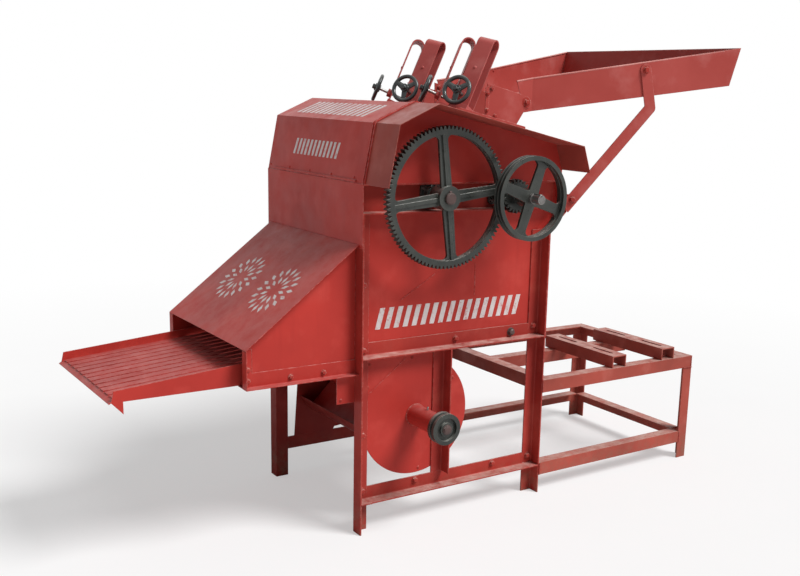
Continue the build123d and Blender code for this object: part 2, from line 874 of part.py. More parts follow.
def arc_wedge(start, end, reach, y0, y1):
    """Sector of a disc in the XZ plane, angles from +X towards +Z."""
    points = [(0, 0)]
    for step in range(wedge_sides + 1):
        angle = radians(start + (end - start) * step / wedge_sides)
        points.append((reach * cos(angle), reach * sin(angle)))
    return side_plate(points, y0, y1)


def make_chutes():
    """Slides inside the body: cobs in from the throats, cobs out, and kernels to the fan."""
    paths = ([feed_foot, feed_top], [cob_foot, cob_top], [kernel_foot, kernel_top])
    return [folded_sheet(path, sheet, sheet, body_depth - sheet) for path in paths]


# Winnowing fan
def make_fan_plate():
    """Near end plate: a disc with a square top under the rail and a wing past the leg."""
    plate = round_bar(fan_x, fan_z, fan_plate_r, 0, fan_plate)
    plate += block(fan_x - fan_plate_r, post_x, 0, fan_plate, fan_z, upper_rail_z)
    plate += block(fan_wing_x, fan_x, 0, fan_plate, fan_wing_base, fan_wing_top)
    return plate - round_bar(fan_x, fan_z, fan_shaft_r + shaft_hole_gap, 0, fan_plate)


def make_far_fan_plate():
    """Far end plate, cut straight along its left edge, with the shaft's outer bearing."""
    y0, y1 = body_depth - fan_plate, body_depth
    base = lower_rail_z + angle_flange
    outline = [
        (fan_foot_x, base),
        (fan_head_x, upper_rail_z),
        (post_x, upper_rail_z),
        (post_x, fan_z),
        (fan_x, base),
    ]
    disc = round_bar(fan_x, fan_z, fan_plate_r, y0, y1)
    disc &= block(fan_x, fan_x + fan_plate_r, y0, y1, base, upper_rail_z)
    y1 = body_depth + fan_bearing_length
    plate = side_plate(outline, y0, body_depth) + disc
    plate += round_bar(fan_x, fan_z, fan_far_bearing_r, body_depth, y1)
    return plate - round_bar(fan_x, fan_z, fan_shaft_r + shaft_play, y0, y1)


def make_fan_scroll():
    """Drum sheet round the blades, open towards the left, with a lip along its top."""
    y0, y1 = fan_plate, body_depth - fan_plate
    ring = round_bar(0, 0, drum_r + sheet, y0, y1) - round_bar(0, 0, drum_r, y0, y1)
    ring -= arc_wedge(drum_start, drum_end, 2 * drum_r, y0, y1)
    lip = block(drum_lip_x - fan_x, 0, y0, y1, drum_r, drum_r + sheet)
    return Pos(fan_x, 0, fan_z) * (ring + lip)


def make_fan_tube():
    """Bearing tube standing out of the near plate, closed by a bearing at each end."""
    tube = round_bar(fan_x, fan_z, fan_tube_r, -fan_tube_length, 0)
    inner = (-fan_tube_length + fan_bearing_length, -fan_bearing_length)
    tube -= round_bar(fan_x, fan_z, fan_tube_r - fan_tube_wall, *inner)
    return tube - round_bar(fan_x, fan_z, fan_shaft_r + shaft_play, -fan_tube_length, 0)


def make_fan_shaft():
    y0 = fan_pulley_back_y - fan_pulley_width - shaft_end
    y1 = body_depth + fan_bearing_length + shaft_end
    return round_bar(fan_x, fan_z, fan_shaft_r, y0, y1)


def make_impeller():
    """Four flat paddles on a hub tube."""
    y0 = fan_plate + blade_side_gap
    y1 = body_depth - y0
    impeller = round_bar(0, 0, fan_hub_r, y0, y1)
    for step in range(blade_count):
        blade = block(0, blade_r, y0, y1, -blade_wall / 2, blade_wall / 2)
        impeller += Rot(0, 45 + 360 / blade_count * step, 0) * blade
    impeller -= round_bar(0, 0, fan_shaft_r, y0, y1)
    return Pos(fan_x, 0, fan_z) * impeller


def make_fan_pulley():
    """One-groove pulley with a recessed front and a hub."""
    pulley = grooved_rim(fan_pulley_r, fan_shaft_r, fan_pulley_width, 1)
    recess = round_bar(0, 0, fan_pulley_r - groove_depth - fan_recess_rim, 0, fan_recess)
    recess -= round_bar(0, 0, fan_shaft_r + fan_pulley_hub, 0, fan_recess)
    return Pos(fan_x, fan_pulley_back_y - fan_pulley_width, fan_z) * (pulley - recess)


# Hood and shaker tray
def make_hood_plate():
    """Sloping plate over the tray, wider than the side plates it rests on."""
    points = [(-sheet, hood_join_z), (-hood_reach, hood_lip_z)]
    return folded_sheet(points, sheet, -hood_overhang, body_depth + hood_overhang)


def make_hood_side():
    """Side plate with a front post and a bottom rail, both turned outwards."""
    slope = (hood_join_z - hood_lip_z) / (hood_reach - sheet)
    top_x = -hood_reach + (left_wall_base - hood_lip_z) / slope
    points = [
        (-hood_reach, hood_base_z),
        (-hood_reach, hood_lip_z),
        (top_x, left_wall_base),
        (0, left_wall_base),
        (0, hood_base_z),
    ]
    side = side_plate(points, 0, sheet)
    post = angle_bar(
        (-hood_reach, 0, hood_base_z),
        (0, 0, 1),
        (1, 0, 0),
        (0, -1, 0),
        hood_lip_z - hood_base_z,
        hood_ledge,
        hood_ledge,
        hood_wall,
    )
    rail = angle_bar(
        (-hood_reach, 0, hood_base_z),
        (1, 0, 0),
        (0, 0, 1),
        (0, -1, 0),
        hood_reach,
        hood_rail_height,
        hood_ledge,
        hood_wall,
    )
    return side + post + rail


def make_runners():
    """Angles inside the hood's side plates that the tray slides on."""
    near = angle_bar(
        (-hood_reach + hood_wall, sheet, tray_bottom_z - run_gap - runner_wall),
        (1, 0, 0),
        (0, 0, 1),
        (0, 1, 0),
        hood_reach - hood_wall,
        runner_flange,
        runner_flange,
        runner_wall,
    )
    return [near, mirrored(near)]


def deck_z(x):
    """Top of the slats."""
    rise = (x - tray_left_x) * tan(radians(tray_slope))
    return tray_bottom_z + tray_left_height - deck_drop + rise


def make_tray_frame():
    """Tapered side plates joined by the folded lip and by cross bars under the slats."""
    height = tray_left_height + (tray_right_x - tray_left_x) * tan(radians(tray_slope))
    points = [
        (tray_left_x - tray_left_rake, tray_bottom_z),
        (tray_left_x, tray_bottom_z + tray_left_height),
        (tray_right_x, tray_bottom_z + height),
        (tray_right_x, tray_bottom_z),
    ]
    side = side_plate(points, tray_near_y, tray_near_y + tray_sheet)
    frame = side + mirrored(side)
    y0, y1 = tray_near_y, tray_far_y
    under = slat_wall + tray_sheet
    lip = [(lip_x, deck_z(lip_x) - slat_wall - lip_drop)]
    for x in (tray_left_x, tray_left_x + deck_bar):
        lip.append((x, deck_z(x) - slat_wall))
    frame += folded_sheet(lip, tray_sheet, y0, y1)
    x, z = tray_left_x - tray_left_rake, tray_bottom_z
    corners = [(x, z), (x + gusset_length, z), (x + gusset_length, z - gusset_drop)]
    gusset = side_plate(corners, tray_near_y, tray_near_y + tray_sheet)
    frame += gusset + mirrored(gusset)
    for x in deck_bar_x:
        end = x + deck_bar
        points = [(x, deck_z(x) - under), (end, deck_z(end) - under)]
        points += [(end, deck_z(end) - slat_wall), (x, deck_z(x) - slat_wall)]
        frame += side_plate(points, y0, y1)
    return frame


def make_tray_deck():
    """Slats along the tray with gaps that pass kernels and hold cobs."""
    x0, x1 = tray_left_x, tray_right_x
    z0, z1 = deck_z(x0), deck_z(x1)
    points = [(x0, z0 - slat_wall), (x1, z1 - slat_wall), (x1, z1), (x0, z0)]
    clear = tray_far_y - tray_near_y - 2 * tray_sheet
    width = (clear - (slat_count + 1) * slat_gap) / slat_count
    slats = []
    for number in range(slat_count):
        start = tray_near_y + tray_sheet + slat_gap + number * (width + slat_gap)
        slats.append(side_plate(points, start, start + width))
    return slats


# The whole machine, one entry for each separate piece
def build():
    legs = make_legs()
    pieces = dict(legs)
    pieces.update(make_rails(legs))
    pieces["cross_rails"] = make_cross_rails()
    pieces["fan_posts"] = make_fan_posts()
    pieces.update(make_table())
    pieces["engine_rails"] = [make_engine_rail(x) for x in rail_x]
    pieces["panel_near"] = make_panel()
    pieces["panel_far"] = mirrored(make_panel())
    pieces["wall_left"] = make_left_wall()
    pieces["wall_right"] = make_right_wall()
    pieces["bearing_channel_near"] = make_channel()
    pieces["bearing_channel_far"] = mirrored(make_channel())
    bearings = [make_bearing(rotor_x, rotor_shaft_r), make_bearing(pinion_x, pinion_shaft_r)]
    pieces["shaft_bearings"] = bearings + [mirrored(bearing) for bearing in bearings]
    pieces["top_cover"] = make_cover()
    pieces["gear_guard"] = make_gear_guard()
    pieces["throat_curb"] = make_curb()
    pieces["throat_plates_near"] = make_throat(throat_centres[0], True, False)
    pieces["throat_plates_far"] = make_throat(throat_centres[1], False, True)
    pieces["hood_plate"] = make_hood_plate()
    pieces["hood_side_near"] = make_hood_side()
    pieces["hood_side_far"] = mirrored(make_hood_side())
    pieces["tray_runners"] = make_runners()
    pieces["inner_chutes"] = make_chutes()
    pieces["concave"] = make_concave()
    pieces["fan_plate_near"] = make_fan_plate()
    pieces["fan_plate_far"] = make_far_fan_plate()
    pieces["fan_scroll"] = make_fan_scroll()
    pieces["fan_bearing_tube"] = make_fan_tube()
    places = spring_places()
    pieces["springs_near"] = [make_spring(*place) for place in places[:2]]
    pieces["springs_far"] = [make_spring(*place) for place in places[2:]]
    for number, place in enumerate(places):
        pieces[f"handwheel_{number + 1}"] = make_handwheel(*place)
    shaft_front = gear_front_y - gear_hub_front - shaft_end
    shaft_back = body_depth + channel_wall + bearing_depth + shaft_end
    pieces["rotor_shaft"] = round_bar(rotor_x, shaft_z, rotor_shaft_r, shaft_front, shaft_back)
    pieces["drive_gear"] = make_gear()
    pieces["picker_disc_near"] = make_disc(throat_centres[0])
    pieces["picker_disc_far"] = make_disc(throat_centres[1])
    pieces["pinion_shaft"] = make_pinion_shaft(shaft_back)
    pieces["pinion"] = make_pinion()
    pieces["main_pulley"] = make_main_pulley()
    pieces["fan_shaft"] = make_fan_shaft()
    pieces["fan_impeller"] = make_impeller()
    pieces["fan_pulley"] = make_fan_pulley()
    pieces["tray_frame"] = make_tray_frame()
    pieces["tray_deck"] = make_tray_deck()
    pieces["hopper"] = make_hopper()
    pieces["hopper_strut"] = make_strut()
    return pieces


def as_solids(piece):
    """A node's solids as one list, whether it is a single piece or several."""
    solids = []
    for item in piece if isinstance(piece, list) else [piece]:
        solids += item.solids()
    return solids


machine = {name: as_solids(piece) for name, piece in build().items()}
boxes = [solid.bounding_box() for solids in machine.values() for solid in solids]
x0, y0, z0 = (min(getattr(box.min, axis) for box in boxes) for axis in "XYZ")
x1, y1, z1 = (max(getattr(box.max, axis) for box in boxes) for axis in "XYZ")
origin = [round(value, 1) for value in ((x0 + x1) / 2, (y0 + y1) / 2, z0)]
to_origin = Pos(*origin).inverse()
os.makedirs("parts", exist_ok=True)
for name, solids in machine.items():
    moved = [to_origin * solid for solid in solids]
    node = moved[0] if len(moved) == 1 else Compound(moved)
    node.label = name
    export_step(node, f"parts/{name}.step")
print(len(machine), "nodes; overall size", x1 - x0, y1 - y0, z1 - z0)
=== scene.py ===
import bpy
import bmesh
import json
from math import atan2, ceil, cos, dist, pi, radians, sin, tan
from mathutils import Matrix, Vector, noise


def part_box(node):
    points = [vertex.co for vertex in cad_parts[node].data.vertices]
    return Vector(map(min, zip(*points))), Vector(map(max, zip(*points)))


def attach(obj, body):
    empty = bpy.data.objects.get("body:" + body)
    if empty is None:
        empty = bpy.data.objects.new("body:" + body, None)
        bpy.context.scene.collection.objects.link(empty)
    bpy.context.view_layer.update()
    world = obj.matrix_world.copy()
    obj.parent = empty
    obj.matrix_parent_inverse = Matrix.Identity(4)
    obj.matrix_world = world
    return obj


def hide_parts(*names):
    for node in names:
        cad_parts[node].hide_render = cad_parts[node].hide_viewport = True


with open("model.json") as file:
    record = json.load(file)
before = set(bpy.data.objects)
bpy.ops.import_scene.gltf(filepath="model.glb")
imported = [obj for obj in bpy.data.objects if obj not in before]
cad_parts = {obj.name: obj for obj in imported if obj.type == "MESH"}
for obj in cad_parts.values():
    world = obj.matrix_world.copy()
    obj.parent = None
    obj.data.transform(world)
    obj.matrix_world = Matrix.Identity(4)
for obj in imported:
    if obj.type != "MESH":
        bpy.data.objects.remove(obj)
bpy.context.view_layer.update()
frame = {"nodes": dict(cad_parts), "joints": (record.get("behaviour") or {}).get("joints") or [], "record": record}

nodes = frame["nodes"]
joints = {joint["name"]: joint for joint in frame["joints"]}
nearSide = Vector((0, -1, 0))
farSide = Vector((0, 1, 0))
upward = Vector((0, 0, 1))

# places below are in millimetres from the left legs' outer corner, the near panel and the floor
corner = Vector((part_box("leg_near_left")[0].x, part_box("panel_near")[0].y, 0))
bodyDepth = (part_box("panel_far")[1].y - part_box("panel_near")[0].y) * 1000


def at(x, y, z):
    return corner + Vector((x, y, z)) / 1000


def onAxis(jointName, y):
    # a spot on a shaft's axis, y millimetres from the near panel
    middle = Vector(joints[jointName]["pos_m"])
    return Vector((middle.x, corner.y + y / 1000, middle.z))


print("frame loaded:", len(nodes), "nodes")


# node helpers for the materials

def newMaterial(name):
    material = bpy.data.materials.new(name)
    material.use_nodes = True
    tree = material.node_tree
    return material, tree, tree.nodes["Principled BSDF"]


def addNode(tree, kind, inputs=None, **settings):
    node = tree.nodes.new(kind)
    for key, value in settings.items():
        setattr(node, key, value)
    for key, value in (inputs or {}).items():
        if isinstance(value, bpy.types.NodeSocket):
            tree.links.new(value, node.inputs[key])
        else:
            node.inputs[key].default_value = value
    return node


def objectPoint(tree, scale=(1, 1, 1)):
    point = addNode(tree, "ShaderNodeTexCoord").outputs["Object"]
    return addNode(tree, "ShaderNodeMapping", {"Vector": point, "Scale": scale}).outputs[0]


def noiseValue(tree, scale, detail=4, rough=0.55, stretch=(1, 1, 1)):
    inputs = {"Vector": objectPoint(tree, stretch), "Scale": scale, "Detail": detail, "Roughness": rough}
    return addNode(tree, "ShaderNodeTexNoise", inputs).outputs["Fac"]


def spread(tree, value, low, high, toLow=0.0, toHigh=1.0):
    inputs = {"Value": value, "From Min": low, "From Max": high, "To Min": toLow, "To Max": toHigh}
    return addNode(tree, "ShaderNodeMapRange", inputs).outputs[0]


def combine(tree, operation, first, second):
    return addNode(tree, "ShaderNodeMath", {0: first, 1: second}, operation=operation).outputs[0]


def mixColour(tree, amount, first, second):
    node = tree.nodes.new("ShaderNodeMix")
    node.data_type = "RGBA"
    for socket, value in ((node.inputs[0], amount), (node.inputs[6], first), (node.inputs[7], second)):
        if isinstance(value, bpy.types.NodeSocket):
            tree.links.new(value, socket)
        elif isinstance(value, tuple):
            socket.default_value = (*value, 1)
        else:
            socket.default_value = value
    return node.outputs[2]


# on painted parts the worn edge is also a painted highlight
wearRange = (0.995, 0.8)  # how far the two normals agree, from whole paint to bare metal


def edgeWear(tree, radius):
    # the bevelled normal leaves the flat one only near an edge
    flat = addNode(tree, "ShaderNodeNewGeometry").outputs["Normal"]
    rounded = addNode(tree, "ShaderNodeBevel", {"Radius": radius}, samples=4).outputs[0]
    agreement = addNode(tree, "ShaderNodeVectorMath", {0: flat, 1: rounded}, operation="DOT_PRODUCT")
    return spread(tree, agreement.outputs["Value"], *wearRange), rounded


def upFacing(tree):
    normal = addNode(tree, "ShaderNodeNewGeometry").outputs["Normal"]
    return addNode(tree, "ShaderNodeSeparateXYZ", {0: normal}).outputs[2]


def heightAbove(tree):
    point = addNode(tree, "ShaderNodeTexCoord").outputs["Object"]
    return addNode(tree, "ShaderNodeSeparateXYZ", {0: point}).outputs[2]


def mottle(tree, pattern, *ends):
    # a pattern holds its noise (scale, detail, roughness, stretch) and the range that it is spread over
    return spread(tree, noiseValue(tree, *pattern["noise"]), *pattern["range"], *ends)


def addBump(tree, pattern, normal=None, strength=None):
    inputs = {
        "Height": noiseValue(tree, *pattern["noise"]), "Distance": pattern["distance"],
        "Strength": pattern["strength"] if strength is None else strength,
    }
    if normal is not None:
        inputs["Normal"] = normal
    return addNode(tree, "ShaderNodeBump", inputs).outputs[0]


def finishShader(tree, shader, colour, roughness, normal):
    for name, value in (("Base Color", colour), ("Roughness", roughness), ("Normal", normal)):
        tree.links.new(value, shader.inputs[name])


# paint, iron and steel

# in each look the dust colour and amount tint faces that point up: dust, and also a painted highlight on the tops
paintLooks = {
    # the wear colour of each look lightens worn edges, and is also partly a painted highlight along them
    "oxideRedBody": {
        "colour": (0.49, 0.042, 0.032), "dark": (0.37, 0.032, 0.025), "faded": (0.53, 0.066, 0.052),
        "dustAndHighlight": (0.56, 0.32, 0.30), "dustAndHighlightAmount": 0.30, "wearAndHighlight": (0.72, 0.36, 0.32),
        "rough": (0.30, 0.50), "dents": 0.35,
    },
    "oxideRedFrame": {
        "colour": (0.42, 0.044, 0.032), "dark": (0.29, 0.030, 0.024), "faded": (0.47, 0.080, 0.060),
        "dustAndHighlight": (0.62, 0.42, 0.37), "dustAndHighlightAmount": 0.85, "wearAndHighlight": (0.66, 0.34, 0.29),
        "rough": (0.36, 0.56), "dents": 0.1,
    },
    "dustyPaint": {
        "colour": (0.45, 0.082, 0.070), "dark": (0.38, 0.058, 0.048), "faded": (0.51, 0.15, 0.135),
        "dustAndHighlight": (0.60, 0.38, 0.35), "dustAndHighlightAmount": 0.55, "wearAndHighlight": (0.74, 0.42, 0.38),
        "rough": (0.34, 0.54), "dents": 0.3,
    },
    # the gear guard's paint: darker brown for grime and for painted shade
    "grimeAndShadePaint": {
        "colour": (0.39, 0.070, 0.052), "dark": (0.27, 0.052, 0.040), "faded": (0.44, 0.11, 0.085),
        "dustAndHighlight": (0.58, 0.36, 0.34), "dustAndHighlightAmount": 0.50, "wearAndHighlight": (0.62, 0.32, 0.27),
        "rough": (0.36, 0.56), "dents": 0.3,
    },
    "tablePaint": {
        "colour": (0.42, 0.078, 0.056), "dark": (0.25, 0.052, 0.038), "faded": (0.46, 0.14, 0.11),
        "dustAndHighlight": (0.56, 0.38, 0.33), "dustAndHighlightAmount": 0.80, "wearAndHighlight": (0.62, 0.34, 0.28),
        "rough": (0.40, 0.62), "dents": 0.1,
    },
    # pale pink paint of the rolled bead, a painted highlight along it
    "beadHighlightPaint": {
        "colour": (0.66, 0.27, 0.24), "dark": (0.52, 0.16, 0.14), "faded": (0.72, 0.40, 0.36),
        "dustAndHighlight": (0.72, 0.46, 0.42), "dustAndHighlightAmount": 0.40, "wearAndHighlight": (0.76, 0.50, 0.46),
        "rough": (0.34, 0.5), "dents": 0.05,
    },
    "springPaint": {
        "colour": (0.55, 0.115, 0.105), "dark": (0.42, 0.085, 0.078), "faded": (0.60, 0.19, 0.175),
        "dustAndHighlight": (0.50, 0.30, 0.27), "dustAndHighlightAmount": 0.40, "wearAndHighlight": (0.50, 0.26, 0.23),
        "rough": (0.34, 0.5), "dents": 0.05,
    },
    "trayPaint": {
        "colour": (0.46, 0.050, 0.042), "dark": (0.30, 0.032, 0.028), "faded": (0.54, 0.12, 0.10),
        "dustAndHighlight": (0.52, 0.24, 0.22), "dustAndHighlightAmount": 0.30, "wearAndHighlight": (0.58, 0.26, 0.24),
        "rough": (0.38, 0.6), "dents": 0.1,
    },
    "shadedPaint": {
        "colour": (0.26, 0.024, 0.018), "dark": (0.16, 0.016, 0.013), "faded": (0.32, 0.045, 0.036),
        "dustAndHighlight": (0.34, 0.18, 0.15), "dustAndHighlightAmount": 0.35, "wearAndHighlight": (0.34, 0.12, 0.10),
        "rough": (0.42, 0.62), "dents": 0.1,
    },
}


paintSettings = {
    "broad": {"noise": (2.6,), "range": (0.35, 0.68)},
    "faded": {"noise": (9.0, 6), "range": (0.52, 0.78, 0, 0.7)},
    "streaks": {"noise": (5.0, 5, 0.6, (6, 6, 0.5)), "range": (0.56, 0.74, 0, 0.35)},
    # dust on faces that point up, also standing in for a painted highlight on the tops
    "dustAndHighlight": {"noise": (22, 8, 0.7), "range": (0.30, 0.62)}, "dustAndHighlightFacing": (0.55, 1.0),
    "soil": {"noise": (30, 6, 0.7), "range": (0.40, 0.66)},
    "soilHeight": 0.16, "soilAmount": 0.75, "soilColour": (0.20, 0.13, 0.09),
    "chips": {"noise": (60, 6, 0.7), "range": (0.44, 0.58)}, "chipAmount": 0.9, "edge": 0.0022,
    "gloss": {"noise": (14, 5, 0.6), "range": (0.3, 0.7)}, "specular": 0.13,
    "peel": {"noise": (240, 2), "strength": 0.12, "distance": 0.0006},
    "waves": {"noise": (4.5, 2, 0.4), "distance": 0.02},
}


def makePaint(name, look):
    material, tree, shader = newMaterial(name)
    colour = mixColour(tree, mottle(tree, paintSettings["broad"]), look["dark"], look["colour"])
    colour = mixColour(tree, mottle(tree, paintSettings["faded"]), colour, look["faded"])
    colour = mixColour(tree, mottle(tree, paintSettings["streaks"]), colour, look["dark"])
    # dust lies on what faces up, and its pale pink there is also a painted highlight on the tops; soil is thrown
    # up near the floor
    dustAndHighlight = spread(tree, upFacing(tree), *paintSettings["dustAndHighlightFacing"], 0, look["dustAndHighlightAmount"])
    dustAndHighlight = combine(tree, "MULTIPLY", dustAndHighlight, mottle(tree, paintSettings["dustAndHighlight"]))
    colour = mixColour(tree, dustAndHighlight, colour, look["dustAndHighlight"])
    soil = spread(tree, heightAbove(tree), paintSettings["soilHeight"], 0, 0, paintSettings["soilAmount"])
    soil = combine(tree, "MULTIPLY", soil, mottle(tree, paintSettings["soil"]))
    colour = mixColour(tree, soil, colour, paintSettings["soilColour"])
    # edges lightened to pale pink: paint worn off, and also a painted highlight along the edges
    worn, rounded = edgeWear(tree, paintSettings["edge"])
    worn = combine(tree, "MULTIPLY", worn, mottle(tree, paintSettings["chips"]))
    worn = combine(tree, "MULTIPLY", worn, paintSettings["chipAmount"])
    colour = mixColour(tree, worn, colour, look["wearAndHighlight"])
    peel = addBump(tree, paintSettings["peel"], rounded)
    waves = addBump(tree, paintSettings["waves"], peel, look["dents"])
    finishShader(tree, shader, colour, mottle(tree, paintSettings["gloss"], *look["rough"]), waves)
    shader.inputs["Specular IOR Level"].default_value = paintSettings["specular"]
    return material


# the sheen of each look is how strongly faces that point up are lightened, a painted highlight
ironLooks = {
    "castIron": {
        "colour": (0.026, 0.029, 0.026), "light": (0.052, 0.056, 0.049), "worn": (0.17, 0.175, 0.155),
        "rough": (0.22, 0.42), "grain": 0.3, "paintedHighlight": 0.8,
    },
    "wheelIron": {
        "colour": (0.016, 0.020, 0.021), "light": (0.040, 0.048, 0.048), "worn": (0.17, 0.19, 0.18),
        "rough": (0.18, 0.36), "grain": 0.15, "paintedHighlight": 0.3,
    },
    "greasyBolt": {
        "colour": (0.050, 0.028, 0.026), "light": (0.12, 0.070, 0.062), "worn": (0.22, 0.16, 0.15),
        "rough": (0.34, 0.55), "grain": 0.2, "paintedHighlight": 0.3,
    },
}


ironSettings = {
    "broad": {"noise": (11, 6, 0.6), "range": (0.38, 0.70)},
    "rubbed": {"noise": (70, 5, 0.7), "range": (0.35, 0.60, 0, 0.85)}, "edge": 0.0018,
    "speckle": {"noise": (38, 6, 0.7), "range": (0.36, 0.62, 0.35, 1.0)},
    # where faces that point up start to be lightened and the pale grey they get: a painted highlight
    "paintedHighlightFacing": (0.35, 0.95), "paintedHighlightColour": (0.44, 0.44, 0.40),
    "gloss": {"noise": (26, 5, 0.6), "range": (0.3, 0.7)}, "metallic": 0.25,
    "sand": {"noise": (420, 3), "distance": 0.0006},
}


def makeIron(name, look):
    material, tree, shader = newMaterial(name)
    colour = mixColour(tree, mottle(tree, ironSettings["broad"]), look["colour"], look["light"])
    worn, rounded = edgeWear(tree, ironSettings["edge"])
    worn = combine(tree, "MULTIPLY", worn, mottle(tree, ironSettings["rubbed"]))
    colour = mixColour(tree, worn, colour, look["worn"])
    # painted highlight: what faces up is lightened towards pale grey, in specks
    paintedHighlight = spread(tree, upFacing(tree), *ironSettings["paintedHighlightFacing"], 0, look["paintedHighlight"])
    paintedHighlight = combine(tree, "MULTIPLY", paintedHighlight, mottle(tree, ironSettings["speckle"]))
    colour = mixColour(tree, paintedHighlight, colour, ironSettings["paintedHighlightColour"])
    sand = addBump(tree, ironSettings["sand"], rounded, look["grain"])
    finishShader(tree, shader, colour, mottle(tree, ironSettings["gloss"], *look["rough"]), sand)
    shader.inputs["Metallic"].default_value = ironSettings["metallic"]
    return material


steelSettings = {
    "film": {"noise": (30, 6, 0.65), "range": (0.36, 0.68)},
    "bright": (0.34, 0.33, 0.32), "dull": (0.17, 0.155, 0.15), "rough": (0.26, 0.44),
    "rust": {"noise": (75, 8, 0.75), "range": (0.60, 0.74, 0, 0.7)}, "rustColour": (0.13, 0.055, 0.030),
    "lathe": {"noise": (6, 2, 0.5, (1, 160, 1)), "strength": 0.15, "distance": 0.0004},
    "edge": 0.0012, "metallic": 0.85,
}


def makeBareSteel():
    material, tree, shader = newMaterial("oiledSteel")
    film = mottle(tree, steelSettings["film"])
    colour = mixColour(tree, film, steelSettings["bright"], steelSettings["dull"])
    colour = mixColour(tree, mottle(tree, steelSettings["rust"]), colour, steelSettings["rustColour"])
    lathe = addBump(tree, steelSettings["lathe"], edgeWear(tree, steelSettings["edge"])[1])
    finishShader(tree, shader, colour, spread(tree, film, 0, 1, *steelSettings["rough"]), lathe)
    shader.inputs["Metallic"].default_value = steelSettings["metallic"]
    return material


stencilSettings = {
    "tone": {"noise": (18,), "range": (0.3, 0.7)}, "white": (0.68, 0.63, 0.62), "grey": (0.55, 0.47, 0.46),
    "rubbed": {"noise": (55, 8, 0.72), "range": (0.54, 0.66, 0, 0.8)},
    "streaks": {"noise": (12, 5, 0.6, (5, 5, 0.6)), "range": (0.58, 0.72, 0, 0.6)},
    "under": (0.44, 0.075, 0.062), "roughSpread": (0, 0.8, 0.42, 0.6),
    "skin": {"noise": (260, 2), "strength": 0.15, "distance": 0.0005},
}


def makeStencilPaint():
    material, tree, shader = newMaterial("stencilWhite")
    rubbed = mottle(tree, stencilSettings["rubbed"])
    lost = combine(tree, "MAXIMUM", rubbed, mottle(tree, stencilSettings["streaks"]))
    tone = mottle(tree, stencilSettings["tone"])
    colour = mixColour(tree, tone, stencilSettings["white"], stencilSettings["grey"])
    colour = mixColour(tree, lost, colour, stencilSettings["under"])
    roughness = spread(tree, rubbed, *stencilSettings["roughSpread"])
    finishShader(tree, shader, colour, roughness, addBump(tree, stencilSettings["skin"]))
    return material


paints = {name: makePaint(name, look) for name, look in paintLooks.items()}
irons = {name: makeIron(name, look) for name, look in ironLooks.items()}
oiledSteel = makeBareSteel()
stencilWhite = makeStencilPaint()

finishes = {
    "frame_paint": paints["oxideRedFrame"],
    "body_paint": paints["oxideRedBody"],
    "tray_paint": paints["trayPaint"],
    "cast_dark": irons["castIron"],
    "handwheel_dark": irons["wheelIron"],
    "shaft_steel": oiledSteel,
}
ownPaint = {
    "tablePaint": [name for name in nodes if name.startswith(("table_", "engine_"))],
    "springPaint": ["springs_near", "springs_far"],
    "dustyPaint": ["hopper", "hopper_strut", "throat_plates_near", "throat_plates_far", "throat_curb"],
    # the gear guard is darkened with grime and painted shade
    "grimeAndShadePaint": ["gear_guard"],
    "shadedPaint": [
        "leg_far_left", "lower_rail_far", "fan_plate_far", "fan_scroll", "tray_runners", "inner_chutes"],
}
ownFinish = {name: paints[paint] for paint, names in ownPaint.items() for name in names}
ownFinish |= {name: irons["greasyBolt"] for name in ("rotor_shaft", "fan_shaft")}
slotOf = {part["node"]: part["material_slot"] for part in frame["record"]["subparts"]}
for name, node in nodes.items():
    node.data.materials.clear()
    node.data.materials.append(ownFinish.get(name, finishes[slotOf[name]]))
print("materials made and given to the frame")


# mesh helpers

def addPiece(name, mesh, body, material, sharpAngle=35):
    bmesh.ops.recalc_face_normals(mesh, faces=mesh.faces)
    data = bpy.data.meshes.new(name)
    mesh.to_mesh(data)
    mesh.free()
    data.polygons.foreach_set("use_smooth", [True] * len(data.polygons))
    data.set_sharp_from_angle(angle=radians(sharpAngle))
    data.materials.append(material)
    piece = bpy.data.objects.new(name, data)
    bpy.context.scene.collection.objects.link(piece)
    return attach(piece, body)


def facing(centre, direction):
    # a frame whose Z points along the direction
    return Matrix.Translation(centre) @ direction.to_track_quat("Z", "Y").to_matrix().to_4x4()


def wallFrame(spot):
    # a frame on a wall that faces the near side, X along it and Y up
    return Matrix.Translation(spot) @ Matrix.Rotation(pi / 2, 4, "X")


def addPrism(mesh, frameMatrix, sides, radius, low, high, topShare=1.0, turn=0.0):
    # cone or cylinder standing on the frame from low to high, with its rim drawn in at the top
    middle = Matrix.Translation((0, 0, (low + high) / 2)) @ Matrix.Rotation(turn, 4, "Z")
    bmesh.ops.create_cone(
        mesh, cap_ends=True, segments=sides, radius1=radius, radius2=radius * topShare,
        depth=high - low, matrix=frameMatrix @ middle)


# thickness and sinks in metres, the rest as shares of the head's radius
boltShape = {
    "washerThick": 0.0016, "washerSink": 0.001, "headSink": 0.0005,
    "washer": 1.28, "head": 0.80, "crown": 0.86, "crownFrom": 0.79, "crownTo": 0.95, "crownTaper": 0.8,
    "washerSides": 18, "headSides": 6, "crownSides": 12,
}
roundSides = 24  # of hubs, shaft ends and washers


def addBolt(mesh, centre, direction, across=17, washer=True, turn=0.3):
    # washer and hexagon head with a turned crown
    matrix = facing(centre, direction)
    radius = across / 2000 / cos(pi / 6)
    base = boltShape["washerThick"] if washer else 0
    if washer:
        washerRadius = radius * boltShape["washer"]
        addPrism(mesh, matrix, boltShape["washerSides"], washerRadius, -boltShape["washerSink"], base)
    foot, top = base - boltShape["headSink"], base + radius * boltShape["head"]
    addPrism(mesh, matrix, boltShape["headSides"], radius, foot, top, turn=turn)
    foot, top = (base + radius * boltShape[key] for key in ("crownFrom", "crownTo"))
    crown = radius * boltShape["crown"]
    addPrism(mesh, matrix, boltShape["crownSides"], crown, foot, top, boltShape["crownTaper"])


